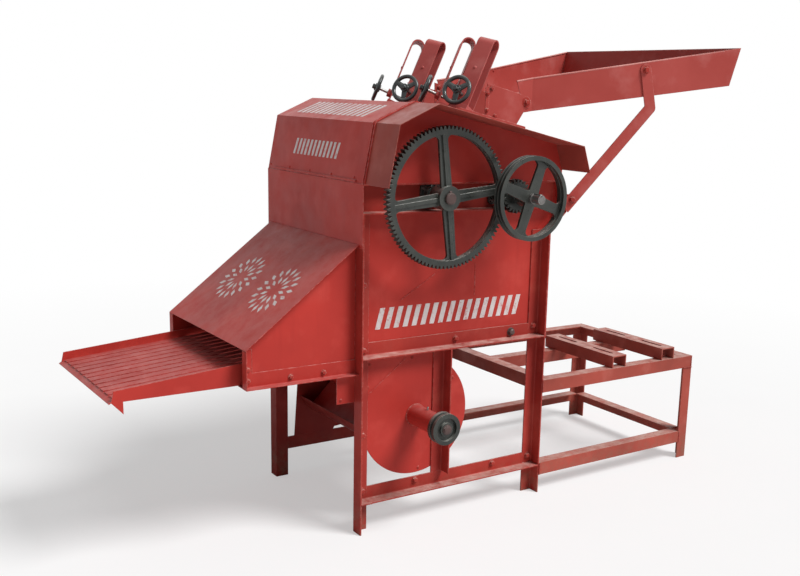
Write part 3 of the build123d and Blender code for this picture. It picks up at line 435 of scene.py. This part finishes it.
rivetShape = {"height": 0.55, "sides": 14, "rings": 8}  # height as a share of the radius


def addRivet(mesh, centre, direction, radius=7):
    bmesh.ops.create_uvsphere(
        mesh, u_segments=rivetShape["sides"], v_segments=rivetShape["rings"], radius=radius / 1000,
        matrix=facing(centre, direction) @ Matrix.Diagonal((1, 1, rivetShape["height"], 1)))


# pitch and jitter in metres for each millimetre of size
weldShape = {"pitch": 0.00075, "grain": 300, "jitter": 0.00016}
weldSharp = 60  # degrees, wide enough to leave the beads smooth


def addWeld(mesh, start, end, size=5):
    # overlapping beads along the joint
    count = max(2, ceil((end - start).length / (size * weldShape["pitch"])))
    for step in range(count):
        spot = start.lerp(end, step / (count - 1))
        jitter = noise.noise(spot * weldShape["grain"]) * size * weldShape["jitter"]
        bmesh.ops.create_icosphere(
            mesh, subdivisions=1, radius=size / 2000 + jitter, matrix=Matrix.Translation(spot))


def addRod(mesh, start, end, radius, sides=10):
    matrix = facing(start, end - start)
    addPrism(mesh, matrix, sides, radius / 1000, 0, (end - start).length)


nippleShape = {"radius": 3.2, "height": 12}


def addNipple(mesh, foot, cap):
    top = foot + upward * nippleShape["height"] / 1000
    addRod(mesh, foot, top, nippleShape["radius"])
    addRivet(mesh, top, upward, cap)


def addPlate(mesh, matrix, points, thickness):
    # thin flat plate drawn in the frame's XY plane, in millimetres
    verts = [mesh.verts.new(matrix @ Vector((x / 1000, y / 1000, 0))) for x, y in points]
    face = mesh.faces.new(verts)
    made = bmesh.ops.extrude_face_region(mesh, geom=[face])["geom"]
    moved = [item for item in made if isinstance(item, bmesh.types.BMVert)]
    out = (matrix.to_3x3() @ upward).normalized()
    bmesh.ops.translate(mesh, verts=moved, vec=out * thickness / 1000)


def addStrip(mesh, matrix, width, length, thickness):
    addPlate(mesh, matrix, [(0, 0), (width, 0), (width, length), (0, length)], thickness)


def slopeFrame(start, end, y, share):
    # a frame on a slope of the outline, X towards the near side and Y up the slope
    (x0, z0), (x1, z1) = start, end
    up = Vector((x1 - x0, 0, z1 - z0)).normalized()
    out = nearSide.cross(up).normalized()
    spot = at(x0 + (x1 - x0) * share, y, z0 + (z1 - z0) * share)
    turn = Matrix((nearSide, up, out)).transposed().to_4x4()
    return Matrix.Translation(spot) @ turn


# bolts and rivets of the frame and body

boltPlaces = {
    "angleFace": 5, "sheetFace": 3,  # how far the angles and the hood's rail stand out from the panel
    "turn": 0.1, "hoodTurn": 0.2,    # turn of a head for each mm of its height
    "largeAcross": 22, "hoodAcross": 13, "rivet": 6,
    "legs": [(28, 882), (30, 655), (30, 352), (30, 146), (772, 671), (772, 146)],
    "rails": [(412, 658), (250, 146), (600, 146)],
    "largeRail": [(665, 656)],
    "hoodPost": [(-389, 603), (-389, 640)],
    "hoodRail": [(-239, 598), (-120, 598)],
    "fanPlate": [(408, 510), (267, 188), (440, 300), (60, 600), (231, 604), (52, 520), (-52, 488)],
    "fanPlateFar": [(408, 510), (267, 188), (440, 300), (231, 604)],
}


def makeFrameBolts():
    painted = bmesh.new()
    dark = bmesh.new()
    for side, wall in ((nearSide, 0), (farSide, bodyDepth)):
        face = wall + side.y * boltPlaces["angleFace"]
        for x, z in boltPlaces["legs"] + boltPlaces["rails"]:
            addBolt(painted, at(x, face, z), side, turn=z * boltPlaces["turn"])
        for x, z in boltPlaces["largeRail"]:
            addBolt(dark, at(x, face, z), side, boltPlaces["largeAcross"])
        face = wall + side.y * boltPlaces["sheetFace"]
        for x, z in boltPlaces["hoodPost"] + boltPlaces["hoodRail"]:
            addBolt(painted, at(x, face, z), side, boltPlaces["hoodAcross"], turn=z * boltPlaces["hoodTurn"])
        for x, z in boltPlaces["fanPlate" if side is nearSide else "fanPlateFar"]:
            addRivet(painted, at(x, wall, z), side, boltPlaces["rivet"])
    addPiece("frameBolts", painted, "frame", paints["oxideRedFrame"])
    addPiece("frameBoltsDark", dark, "frame", irons["greasyBolt"])


bearingSettings = {
    "face": 14, "spacing": 27, "across": 13, "turn": 0.4,
    "nippleOut": 10, "nippleUp": 29, "nippleCap": 3.6,
}


def makeBearingBolts():
    bolts = bmesh.new()
    steel = bmesh.new()
    shift = bearingSettings["spacing"] / 1000
    for jointName in ("rotor_spin", "drive_spin"):
        for side, wall in ((nearSide, 0), (farSide, bodyDepth)):
            middle = onAxis(jointName, wall + side.y * bearingSettings["face"])
            for across in (-1, 1):
                for up in (-1, 1):
                    spot = middle + Vector((across * shift, 0, up * shift))
                    turn = across * bearingSettings["turn"] + up
                    addBolt(bolts, spot, side, bearingSettings["across"], turn=turn)
            outward = side * bearingSettings["nippleOut"] + upward * bearingSettings["nippleUp"]
            addNipple(steel, middle + outward / 1000, bearingSettings["nippleCap"])
    addPiece("bearingBolts", bolts, "frame", irons["greasyBolt"])
    addPiece("greaseNipples", steel, "frame", oiledSteel)


makeFrameBolts()
makeBearingBolts()
print("bolts placed")


# cover: the double seam beside the guard, the hem and the screws along its foot

coverSettings = {
    "sheet": [(0, 1224), (38, 1421), (184, 1489)],                        # shoulder and roof
    "outline": [(0, 1226), (38, 1422.5), (184, 1490.5), (808, 1359.5)],   # where the seam stands on them
    "seams": [(-61, -57.5), (-50, -46.5)], "seamLift": 4,
    "hem": 8, "hemLift": 3, "hemInset": 2,
    "screwHeight": 1240, "screwRows": [20, 180, 340, 500, 660], "screw": 5,
}


def makeCoverSeam():
    seam = bmesh.new()
    outline = coverSettings["outline"]
    for start, end in zip(outline, outline[1:]):
        for y0, y1 in coverSettings["seams"]:
            matrix = slopeFrame(start, end, y1, 0)
            addStrip(seam, matrix, y1 - y0, dist(start, end), coverSettings["seamLift"])
    inset = coverSettings["hemInset"]
    matrix = slopeFrame(*outline[:2], bodyDepth - inset, 0)
    addStrip(seam, matrix, bodyDepth - 2 * inset, coverSettings["hem"], coverSettings["hemLift"])
    addPiece("coverSeam", seam, "frame", paints["oxideRedBody"])


def makeCoverScrews():
    screws = bmesh.new()
    (x0, z0), (x1, z1) = coverSettings["sheet"][:2]
    lean = (x1 - x0) / (z1 - z0)
    z = coverSettings["screwHeight"]
    for y in coverSettings["screwRows"]:
        addRivet(screws, at((z - z0) * lean, y, z), Vector((-1, 0, lean)), coverSettings["screw"])
    addPiece("coverScrews", screws, "frame", paints["oxideRedBody"])


makeCoverSeam()
makeCoverScrews()
print("cover trimmed")


# hopper: rolled bead on the top edges, wall rivets, strut bolts and the bosses of its ears

hopperSettings = {
    "leftTop": (689, 1577), "rightTop": (1590, 1741), "nearY": 49, "flareStart": 762, "flare": 17.5,
    "bead": 3.2, "beadAlong": (1, 0.4), "beadEnd": (3.4, 1.05),  # drop, and inset as a share of the bead
    "seamRivets": [(1032, 1628), (1041, 1566)], "rivet": 6, "rivetInset": 2,
    "strutBolts": [(1199, 1640), (934, 1147)], "strutReach": 5.5, "strutAcross": 20, "strutTurn": 0.9,
    "ear": (732, 1502), "earInset": 4, "earAcross": 16, "earTurn": 0.5,
    "boss": 21, "bossSink": 3, "bossHeight": 3.2, "bossTaper": 0.94, "bossSides": 28,
}


def hopperEdge(x, y0, direction):
    # the wall runs square to the body, then flares out
    spreadOut = max(0, x - hopperSettings["flareStart"]) * tan(radians(hopperSettings["flare"]))
    return y0 + direction * spreadOut


def makeHopperTrim():
    bead = bmesh.new()
    (x0, z0), (x1, z1) = hopperSettings["leftTop"], hopperSettings["rightTop"]
    slope = (z1 - z0) / (x1 - x0)
    radius = hopperSettings["bead"]
    rows = []
    for y0, direction in ((hopperSettings["nearY"], -1), (bodyDepth - hopperSettings["nearY"], 1)):
        spots = []
        for x in (x0, hopperSettings["flareStart"], x1):
            drop, share = hopperSettings["beadEnd" if x == x1 else "beadAlong"]
            y = hopperEdge(x, y0, direction) - direction * radius * share
            spots.append(at(x, y, z0 + (x - x0) * slope - drop))
        rows.append(spots)
        for start, end in zip(spots, spots[1:]):
            addRod(bead, start, end, radius)
    addRod(bead, rows[0][-1], rows[1][-1], radius)
    # the bead's pale paint is a painted highlight
    addPiece("hopperBead", bead, "frame", paints["beadHighlightPaint"])


def makeHopperFasteners():
    fasteners = bmesh.new()
    flare = radians(hopperSettings["flare"])
    outward = Vector((-sin(flare), -cos(flare), 0))
    near = hopperSettings["nearY"]
    for x, z in hopperSettings["seamRivets"]:
        y = hopperEdge(x, bodyDepth - near, 1) - hopperSettings["rivetInset"]
        addRivet(fasteners, at(x, y, z), outward, hopperSettings["rivet"])
    for x, z in hopperSettings["strutBolts"]:
        spot = at(x, hopperEdge(x, near, -1), z) + outward * hopperSettings["strutReach"] / 1000
        addBolt(fasteners, spot, outward, hopperSettings["strutAcross"], turn=hopperSettings["strutTurn"])
    x, z = hopperSettings["ear"]
    ear = near - hopperSettings["earInset"]
    radius, height = hopperSettings["boss"] / 1000, hopperSettings["bossHeight"] / 1000
    sides, taper = hopperSettings["bossSides"], hopperSettings["bossTaper"]
    for side, y in ((nearSide, ear), (farSide, bodyDepth - ear)):
        matrix = facing(at(x, y - side.y * hopperSettings["bossSink"], z), side)
        addPrism(fasteners, matrix, sides, radius, 0, height, taper)
        addBolt(fasteners, at(x, y, z), side, hopperSettings["earAcross"], turn=hopperSettings["earTurn"])
    addPiece("hopperFasteners", fasteners, "frame", paints["oxideRedFrame"])


makeHopperTrim()
makeHopperFasteners()
print("hopper trimmed")


# throats: edge flanges on the outer plates and bolts in all four

throatSettings = {
    "plates": [(45, nearSide), (240, farSide), (385, nearSide), (580, farSide)],
    "bolts": [(572, 1546), (590, 1450)], "across": 12,
    "flange": [(545, 1436), (560, 1433), (560, 1556), (545, 1548)], "flangeThick": 2.5,
    "flangeBolts": [(551, 1470), (552, 1528)],
}


def makeThroatTrim():
    plates = throatSettings["plates"]
    across = throatSettings["across"]
    thick = throatSettings["flangeThick"]
    bolts = bmesh.new()
    for y, side in plates:
        for x, z in throatSettings["bolts"]:
            addBolt(bolts, at(x, y, z), side, across, turn=x)
    flanges = bmesh.new()
    for y, side in (plates[0], plates[-1]):
        matrix = wallFrame(at(0, y if side is nearSide else y + thick, 0))
        addPlate(flanges, matrix, throatSettings["flange"], thick)
        for x, z in throatSettings["flangeBolts"]:
            addBolt(bolts, at(x, y + side.y * thick, z), side, across, turn=z)
    addPiece("throatFlanges", flanges, "frame", paints["dustyPaint"])
    addPiece("throatBolts", bolts, "frame", paints["oxideRedFrame"])


makeThroatTrim()
print("throats trimmed")


# pressure springs: a rivet through each strip, and the threaded handwheels

springSettings = {"count": 4, "lean": 25, "rivetUp": 112, "rivetOut": 26, "rivet": 6}
handwheelSettings = {
    "middle": 82, "rim": 47.5, "rimHalfWide": 7.5, "rimHalfDeep": 7, "rimSides": 14, "rimSteps": 48,
    "hub": 15, "hubHalf": 11, "hubShoulder": 0.8, "hubTaper": 0.86, "nut": 18,
    "spokes": 3, "spoke": 12, "spokeSides": 12, "spokeFlat": 0.45, "spokeStart": 0.7, "spokeTaper": 0.72,
    "spokeTurn": pi / 6, "sharp": 40,
    "screw": 6, "screwNose": 20.7, "screwTail": 16, "pitch": 2.0, "threadDepth": 0.8, "threadSteps": 18,
    "threadSharp": 80,
}
mergeGap = 0.00001


def springFrame(number):
    joint = joints[f"handwheel_{number}_turn"]
    return Vector(joint["pos_m"]), Vector(joint["axis"]).normalized()


def makeSpringRivets():
    rivets = bmesh.new()
    angle = radians(springSettings["lean"])
    lean = Vector((sin(angle), 0, cos(angle)))
    for number in range(1, springSettings["count"] + 1):
        origin, axis = springFrame(number)
        spot = origin + lean * springSettings["rivetUp"] / 1000
        addRivet(rivets, spot - axis * springSettings["rivetOut"] / 1000, -axis, springSettings["rivet"])
    addPiece("springRivets", rivets, "frame", paints["springPaint"])


def spinRound(mesh, verts, steps):
    edges = list(dict.fromkeys(edge for vert in verts for edge in vert.link_edges))
    bmesh.ops.spin(
        mesh, geom=verts + edges, cent=(0, 0, 0), axis=(0, 0, 1), angle=2 * pi, steps=steps, use_merge=True)


def addThread(mesh, low, high):
    # zigzag profile spun round the axis
    pitch, crest = (handwheelSettings[key] / 1000 for key in ("pitch", "screw"))
    root = crest - handwheelSettings["threadDepth"] / 1000
    verts = [mesh.verts.new((0.0, 0, low))]
    for step in range(int((high - low) / pitch)):
        verts.append(mesh.verts.new((root, 0, low + step * pitch)))
        verts.append(mesh.verts.new((crest, 0, low + (step + 0.5) * pitch)))
    verts.append(mesh.verts.new((root, 0, high)))
    verts.append(mesh.verts.new((0.0, 0, high)))
    for pair in zip(verts, verts[1:]):
        mesh.edges.new(pair)
    spinRound(mesh, verts, handwheelSettings["threadSteps"])


def makeHandwheel(number):
    origin, axis = springFrame(number)
    matrix = facing(origin, axis)
    centre = -handwheelSettings["middle"] / 1000
    rim, hub, half, spoke, nose, back = (
        handwheelSettings[key] / 1000 for key in ("rim", "hub", "hubHalf", "spoke", "screwNose", "screwTail"))
    body = f"wheel_{number}"
    middle = Matrix.Translation((0, 0, centre))
    wheel = bmesh.new()
    section = Matrix.Diagonal((handwheelSettings["rimHalfWide"], 1, handwheelSettings["rimHalfDeep"], 1))
    # a circle of one millimetre, stretched to the rim's section
    ring = bmesh.ops.create_circle(
        wheel, segments=handwheelSettings["rimSides"], radius=0.001,
        matrix=Matrix.Translation((rim, 0, centre)) @ section @ Matrix.Rotation(pi / 2, 4, "X"))["verts"]
    spinRound(wheel, ring, handwheelSettings["rimSteps"])
    shoulder = half * handwheelSettings["hubShoulder"]
    addPrism(wheel, middle, roundSides, hub, -half, shoulder)
    addPrism(wheel, middle, roundSides, hub, shoulder, half, handwheelSettings["hubTaper"])
    flat = Matrix.Diagonal((handwheelSettings["spokeFlat"], 1, 1, 1))
    start = hub * handwheelSettings["spokeStart"]
    sides, taper = handwheelSettings["spokeSides"], handwheelSettings["spokeTaper"]
    for step in range(handwheelSettings["spokes"]):
        turn = 2 * pi * step / handwheelSettings["spokes"] + handwheelSettings["spokeTurn"]
        lay = middle @ Matrix.Rotation(turn, 4, "Z") @ Matrix.Rotation(pi / 2, 4, "Y") @ flat
        addPrism(wheel, lay, sides, spoke, start, rim, taper)
    addBolt(wheel, Vector((0, 0, centre - half)), -upward, handwheelSettings["nut"], washer=False)
    screw = bmesh.new()
    addThread(screw, centre - back, nose)
    for mesh in (wheel, screw):
        bmesh.ops.remove_doubles(mesh, verts=mesh.verts, dist=mergeGap)
        bmesh.ops.transform(mesh, matrix=matrix, verts=mesh.verts)
    rimName, screwName = f"handwheelRim_{number}", f"handwheelScrew_{number}"
    sharp, threadSharp = handwheelSettings["sharp"], handwheelSettings["threadSharp"]
    rimPiece = addPiece(rimName, wheel, body, irons["wheelIron"], sharp)
    addPiece(screwName, screw, body, oiledSteel, threadSharp)
    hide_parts(f"handwheel_{number}")


makeSpringRivets()
for number in range(1, springSettings["count"] + 1):
    makeHandwheel(number)
print("springs and handwheels made")


# gear train: keys, shaft ends and set screws

gearSettings = {
    "keyFace": -136, "key": 10, "keyUp": 20, "keyDown": 3, "keyBack": 10, "keyLength": 14,
    "endFace": -144, "end": 18.8, "endSink": 1, "endLift": 1.6, "endTaper": 0.9,
    "screwsAt": -90.5, "screwsOut": 41.5, "screwTurn": 0.4,
}
pulleySettings = {
    "endFace": -266, "end": 14.8, "endSink": 0.8,
    "key": 8, "keyUp": 15.2, "keyBack": 4, "keyLength": 37, "keyThick": 3.4,
    "screwsAt": -174, "screwsOut": 31.5, "screwTurn": 0.9,
}
setScrewAcross = 11


def addSetScrews(name, jointName, body, settings):
    # two screws in the hub, square to each other
    bolts = bmesh.new()
    for turn in (settings["screwTurn"], settings["screwTurn"] + pi / 2):
        outward = Vector((cos(turn), 0, sin(turn)))
        spot = onAxis(jointName, settings["screwsAt"]) + outward * settings["screwsOut"] / 1000
        addBolt(bolts, spot, outward, setScrewAcross, washer=False)
    addPiece(name, bolts, body, irons["greasyBolt"])


def makeGearTrim():
    trim = bmesh.new()
    face = facing(onAxis("rotor_spin", gearSettings["keyFace"]), nearSide)
    seat = face @ Matrix.Translation((0, gearSettings["keyUp"] / 1000, -gearSettings["keyBack"] / 1000))
    half = gearSettings["key"] / 2
    foot = -gearSettings["keyDown"]
    key = [(-half, foot), (half, foot), (half, half), (-half, half)]
    addPlate(trim, seat, key, gearSettings["keyLength"])
    face = facing(onAxis("rotor_spin", gearSettings["endFace"]), nearSide)
    end, sink, lift = (gearSettings[key] / 1000 for key in ("end", "endSink", "endLift"))
    addPrism(trim, face, roundSides, end, -sink, lift, gearSettings["endTaper"])
    addPiece("gearKey", trim, "rotor", irons["greasyBolt"])
    addSetScrews("gearSetScrews", "rotor_spin", "rotor", gearSettings)


def makePulleyTrim():
    trim = bmesh.new()
    end = onAxis("drive_spin", pulleySettings["endFace"])
    radius, sink = pulleySettings["end"] / 1000, pulleySettings["endSink"] / 1000
    addPrism(trim, facing(end, nearSide), roundSides, radius, -sink, 0)
    # the key lies on the shaft, from its end back to the hub
    seat = end + Vector((0, pulleySettings["keyBack"], pulleySettings["keyUp"])) / 1000
    half, length = pulleySettings["key"] / 2, pulleySettings["keyLength"]
    key = [(-half, -length), (half, -length), (half, 0), (-half, 0)]
    addPlate(trim, facing(seat, upward), key, pulleySettings["keyThick"])
    addPiece("pulleyKey", trim, "drive", oiledSteel)
    addSetScrews("pulleySetScrews", "drive_spin", "drive", pulleySettings)


makeGearTrim()
makePulleyTrim()


# fan: weld ring and nipple on the bearing tube, nut on the shaft

fanSettings = {
    "tube": 38, "weldAt": -1, "weld": 3.4, "weldJitter": 0.8, "weldBeads": 60,
    "nippleAt": -80, "nippleUp": 37, "nippleCap": 3.8, "nutAt": -203.5,
    "washer": 18.5, "washerDepth": (-0.5, 1.8), "nut": 16.5, "nutDepth": (1.7, 6.8),
}


def makeFanTrim():
    radius = fanSettings["tube"] / 1000
    welds = bmesh.new()
    middle = onAxis("fan_spin", fanSettings["weldAt"])
    for step in range(fanSettings["weldBeads"]):
        angle = 2 * pi * step / fanSettings["weldBeads"]
        spot = middle + Vector((cos(angle), 0, sin(angle))) * radius
        size = fanSettings["weld"] + noise.noise(spot * weldShape["grain"]) * fanSettings["weldJitter"]
        bmesh.ops.create_icosphere(welds, subdivisions=2, radius=size / 1000, matrix=Matrix.Translation(spot))
    addPiece("fanTubeWeld", welds, "frame", paints["oxideRedFrame"], weldSharp)
    steel = bmesh.new()
    foot = onAxis("fan_spin", fanSettings["nippleAt"]) + upward * fanSettings["nippleUp"] / 1000
    addNipple(steel, foot, fanSettings["nippleCap"])
    addPiece("fanNipple", steel, "frame", oiledSteel)
    nut = bmesh.new()
    face = facing(onAxis("fan_spin", fanSettings["nutAt"]), nearSide)
    for key, sides in (("washer", roundSides), ("nut", boltShape["headSides"])):
        low, high = (depth / 1000 for depth in fanSettings[key + "Depth"])
        addPrism(nut, face, sides, fanSettings[key] / 1000, low, high)
    addPiece("fanNut", nut, "fan", irons["greasyBolt"])


makeFanTrim()
print("gear train and fan trimmed")


# weld beads where the angles and plates join, and along the feet of the throat plates

weldSettings = {
    "size": 6, "throatSize": 5, "throatInset": 1,
    "throatStart": (560, 1449.5), "throatEnd": 688, "roofSlope": -0.2099,
    "runs": [
        ((1633.5, -50, 452), (1633.5, -50, 410)), ((1590, -52, 408), (1634, -52, 408)),
        ((800, -52, 456), (800, -52, 412)), ((802, -48, 459), (802, -6, 459)),
        ((1592, -50, 120), (1592, -50, 74)), ((802, -52, 120), (802, -52, 74)),
        ((6, -50, 112), (44, -50, 112)), ((756, -50, 112), (794, -50, 112)),
        ((6, -50, 633), (44, -50, 633)), ((756, -50, 633), (794, -50, 633)),
        ((874, -10, 1132), (874, -10, 1166)), ((850, 0, 456), (850, 0, 412)),
        ((-404, -6, 704), (-404, -26, 704)), ((-374, -1, 630), (-374, -1, 700)),
    ],
}


def makeWelds():
    beads = bmesh.new()
    for start, end in weldSettings["runs"]:
        addWeld(beads, at(*start), at(*end), weldSettings["size"])
    (x0, z0), x1 = weldSettings["throatStart"], weldSettings["throatEnd"]
    z1 = z0 + (x1 - x0) * weldSettings["roofSlope"]
    for plate, side in throatSettings["plates"]:
        y = plate - weldSettings["throatInset"]
        addWeld(beads, at(x0, y, z0), at(x1, y, z1), weldSettings["throatSize"])
    addPiece("weldBeads", beads, "frame", paints["oxideRedFrame"], weldSharp)


makeWelds()


# laps in the near panel's and the fan plate's sheet

lapSettings = {
    "thick": 1.0,
    "runs": [((177, 816), (320, 901), 3.0), ((494, 812), (494, 925), 3.5), ((44, 486), (204, 607), 3.2)],
}


def makeLaps():
    laps = bmesh.new()
    for (x0, z0), (x1, z1), width in lapSettings["runs"]:
        matrix = wallFrame(at(x0, 0, z0)) @ Matrix.Rotation(atan2(z1 - z0, x1 - x0), 4, "Z")
        length, half = dist((x0, z0), (x1, z1)), width / 2
        addPlate(laps, matrix, [(0, -half), (length, -half), (length, half), (0, half)], lapSettings["thick"])
    addPiece("sheetLaps", laps, "frame", paints["oxideRedBody"])


makeLaps()
print("welds and laps made")


# plain white stencilled marks

markSettings = {
    "lift": 0.35,
    "panel": {"x0": 78, "x1": 706, "z0": 722, "z1": 796, "count": 17, "slant": 20, "share": 0.54},
    "shoulder": {"y0": 150, "y1": 490, "low": 0.34, "high": 0.62, "count": 12, "slant": 14, "share": 0.52},
    "roof": {"y0": 70, "y1": 575, "low": 0.22, "high": 0.80, "count": 15, "slant": 18, "share": 0.55},
    "hoodLine": [(-404, 706), (-2, 1022)], "hoodSheet": 2, "rosettes": [(165, 0.47, 108), (445, 0.47, 108)],
    "rings": [(0.28, 0.62, 0.070, 12), (0.66, 1.0, 0.080, 18)],  # from, to, half width and count
}


def addBars(mesh, matrix, width, height, bars):
    pitch = width / bars["count"]
    bar, slant = pitch * bars["share"], bars["slant"]
    for step in range(bars["count"]):
        x = step * pitch
        addPlate(mesh, matrix, [(x, 0), (x + bar, 0), (x + bar + slant, height), (x + slant, height)],
                 markSettings["lift"])


def addRosette(mesh, matrix, radius):
    # two rings of slim lozenges round an open centre
    for ring, (inner, outer, half, count) in enumerate(markSettings["rings"]):
        start, end, side = inner * radius, outer * radius, half * radius
        middle = (inner + outer) / 2 * radius
        for step in range(count):
            turn = matrix @ Matrix.Rotation(2 * pi * (step + ring * 0.5) / count, 4, "Z")
            lozenge = [(start, 0), (middle, -side), (end, 0), (middle, side)]
            addPlate(mesh, turn, lozenge, markSettings["lift"])


def makeMarks():
    marks = bmesh.new()
    panel = markSettings["panel"]
    matrix = wallFrame(at(panel["x0"], 0, panel["z0"]))
    addBars(marks, matrix, panel["x1"] - panel["x0"], panel["z1"] - panel["z0"], panel)
    sheet = coverSettings["sheet"]
    for key, start, end in zip(("shoulder", "roof"), sheet, sheet[1:]):
        bars = markSettings[key]
        matrix = slopeFrame(start, end, bars["y1"], bars["low"])
        addBars(marks, matrix, bars["y1"] - bars["y0"], (bars["high"] - bars["low"]) * dist(start, end), bars)
    raised = Matrix.Translation((0, 0, markSettings["hoodSheet"] / 1000))
    for y, share, radius in markSettings["rosettes"]:
        addRosette(marks, slopeFrame(*markSettings["hoodLine"], y, share) @ raised, radius)
    addPiece("whiteMarks", marks, "frame", stencilWhite)


makeMarks()
print("marks painted")


# floor, light and camera

studioSettings = {
    "floorSize": 30.0, "floorTone": (0.86, 0.86, 0.86), "floorRough": 0.95, "floorGrain": 1.02,
    "grain": {"noise": (1.5, 3), "range": (0.3, 0.7)}, "fade": (2.2, 5.0, 0.45, 1.0),
    "skyLevel": 0.24, "skySeen": 1.0, "sunLevel": 3.3, "sunFrom": (0.46, -0.70, 1.0), "sunAngle": 24,
}


def makeFloor():
    floor = bmesh.new()
    bmesh.ops.create_grid(floor, x_segments=8, y_segments=8, size=studioSettings["floorSize"] / 2)
    data = bpy.data.meshes.new("studioFloor")
    floor.to_mesh(data)
    floor.free()
    piece = bpy.data.objects.new("studioFloor", data)
    bpy.context.scene.collection.objects.link(piece)
    material, tree, shader = newMaterial("studioPaper")
    tone = studioSettings["floorTone"]
    lighter = tuple(value * studioSettings["floorGrain"] for value in tone)
    paper = mixColour(tree, mottle(tree, studioSettings["grain"]), tone, lighter)
    tree.links.new(paper, shader.inputs["Base Color"])
    shader.inputs["Roughness"].default_value = studioSettings["floorRough"]
    shader.inputs["Specular IOR Level"].default_value = 0.0
    # seen by the camera, the paper runs out to white away from the machine
    glow = addNode(tree, "ShaderNodeEmission", {"Color": (1, 1, 1, 1), "Strength": 1.0}).outputs[0]
    point = addNode(tree, "ShaderNodeTexCoord").outputs["Object"]
    away = addNode(tree, "ShaderNodeVectorMath", {0: point}, operation="LENGTH").outputs["Value"]
    fade = spread(tree, away, *studioSettings["fade"])
    seen = addNode(tree, "ShaderNodeLightPath").outputs["Is Camera Ray"]
    amount = combine(tree, "MULTIPLY", fade, seen)
    mixed = addNode(tree, "ShaderNodeMixShader", {0: amount, 1: shader.outputs[0], 2: glow}).outputs[0]
    tree.links.new(mixed, tree.nodes["Material Output"].inputs["Surface"])
    data.materials.append(material)


def makeLight():
    world = bpy.data.worlds.new("studioSky")
    bpy.context.scene.world = world
    world.use_nodes = True
    tree = world.node_tree
    tree.nodes.clear()
    white = (1, 1, 1, 1)
    soft, bright = (
        addNode(tree, "ShaderNodeBackground", {"Color": white, "Strength": studioSettings[key]}).outputs[0]
        for key in ("skyLevel", "skySeen"))
    rays = addNode(tree, "ShaderNodeLightPath").outputs
    seen = combine(tree, "MAXIMUM", rays["Is Camera Ray"], rays["Is Glossy Ray"])
    seen = combine(tree, "MAXIMUM", seen, rays["Is Transmission Ray"])
    mixed = addNode(tree, "ShaderNodeMixShader", {0: seen, 1: soft, 2: bright})
    output = addNode(tree, "ShaderNodeOutputWorld")
    tree.links.new(mixed.outputs[0], output.inputs["Surface"])
    sun = bpy.data.lights.new("studioSun", "SUN")
    sun.energy = studioSettings["sunLevel"]
    sun.angle = radians(studioSettings["sunAngle"])
    lamp = bpy.data.objects.new("studioSun", sun)
    lamp.rotation_euler = Vector(studioSettings["sunFrom"]).to_track_quat("Z", "Y").to_euler()
    bpy.context.scene.collection.objects.link(lamp)


cameraSettings = {
    "place": (-1676, -2987, 1505), "yaw": -36.97, "pitch": -12.61, "roll": 2.19,
    "lens": 46.289, "sensor": 36, "shift": (-0.1126, 0.0532), "clipEnd": 60,
}


def makeCamera():
    yaw, pitch, roll = (radians(cameraSettings[key]) for key in ("yaw", "pitch", "roll"))
    ahead = Vector((-sin(yaw) * cos(pitch), cos(yaw) * cos(pitch), sin(pitch)))
    level = Vector((cos(yaw), sin(yaw), 0))
    upright = level.cross(ahead)
    right = level * cos(roll) + upright * sin(roll)
    up = upright * cos(roll) - level * sin(roll)
    data = bpy.data.cameras.new("photoCamera")
    data.sensor_width = cameraSettings["sensor"]
    data.lens = cameraSettings["lens"]
    data.shift_x, data.shift_y = cameraSettings["shift"]
    data.clip_end = cameraSettings["clipEnd"]
    camera = bpy.data.objects.new("photoCamera", data)
    turn = Matrix((right, up, -ahead)).transposed().to_4x4()
    camera.matrix_world = Matrix.Translation(at(*cameraSettings["place"])) @ turn
    bpy.context.scene.collection.objects.link(camera)
    bpy.context.scene.camera = camera


makeFloor()
makeLight()
makeCamera()
bpy.context.scene.view_settings.view_transform = "Standard"
print("studio set")
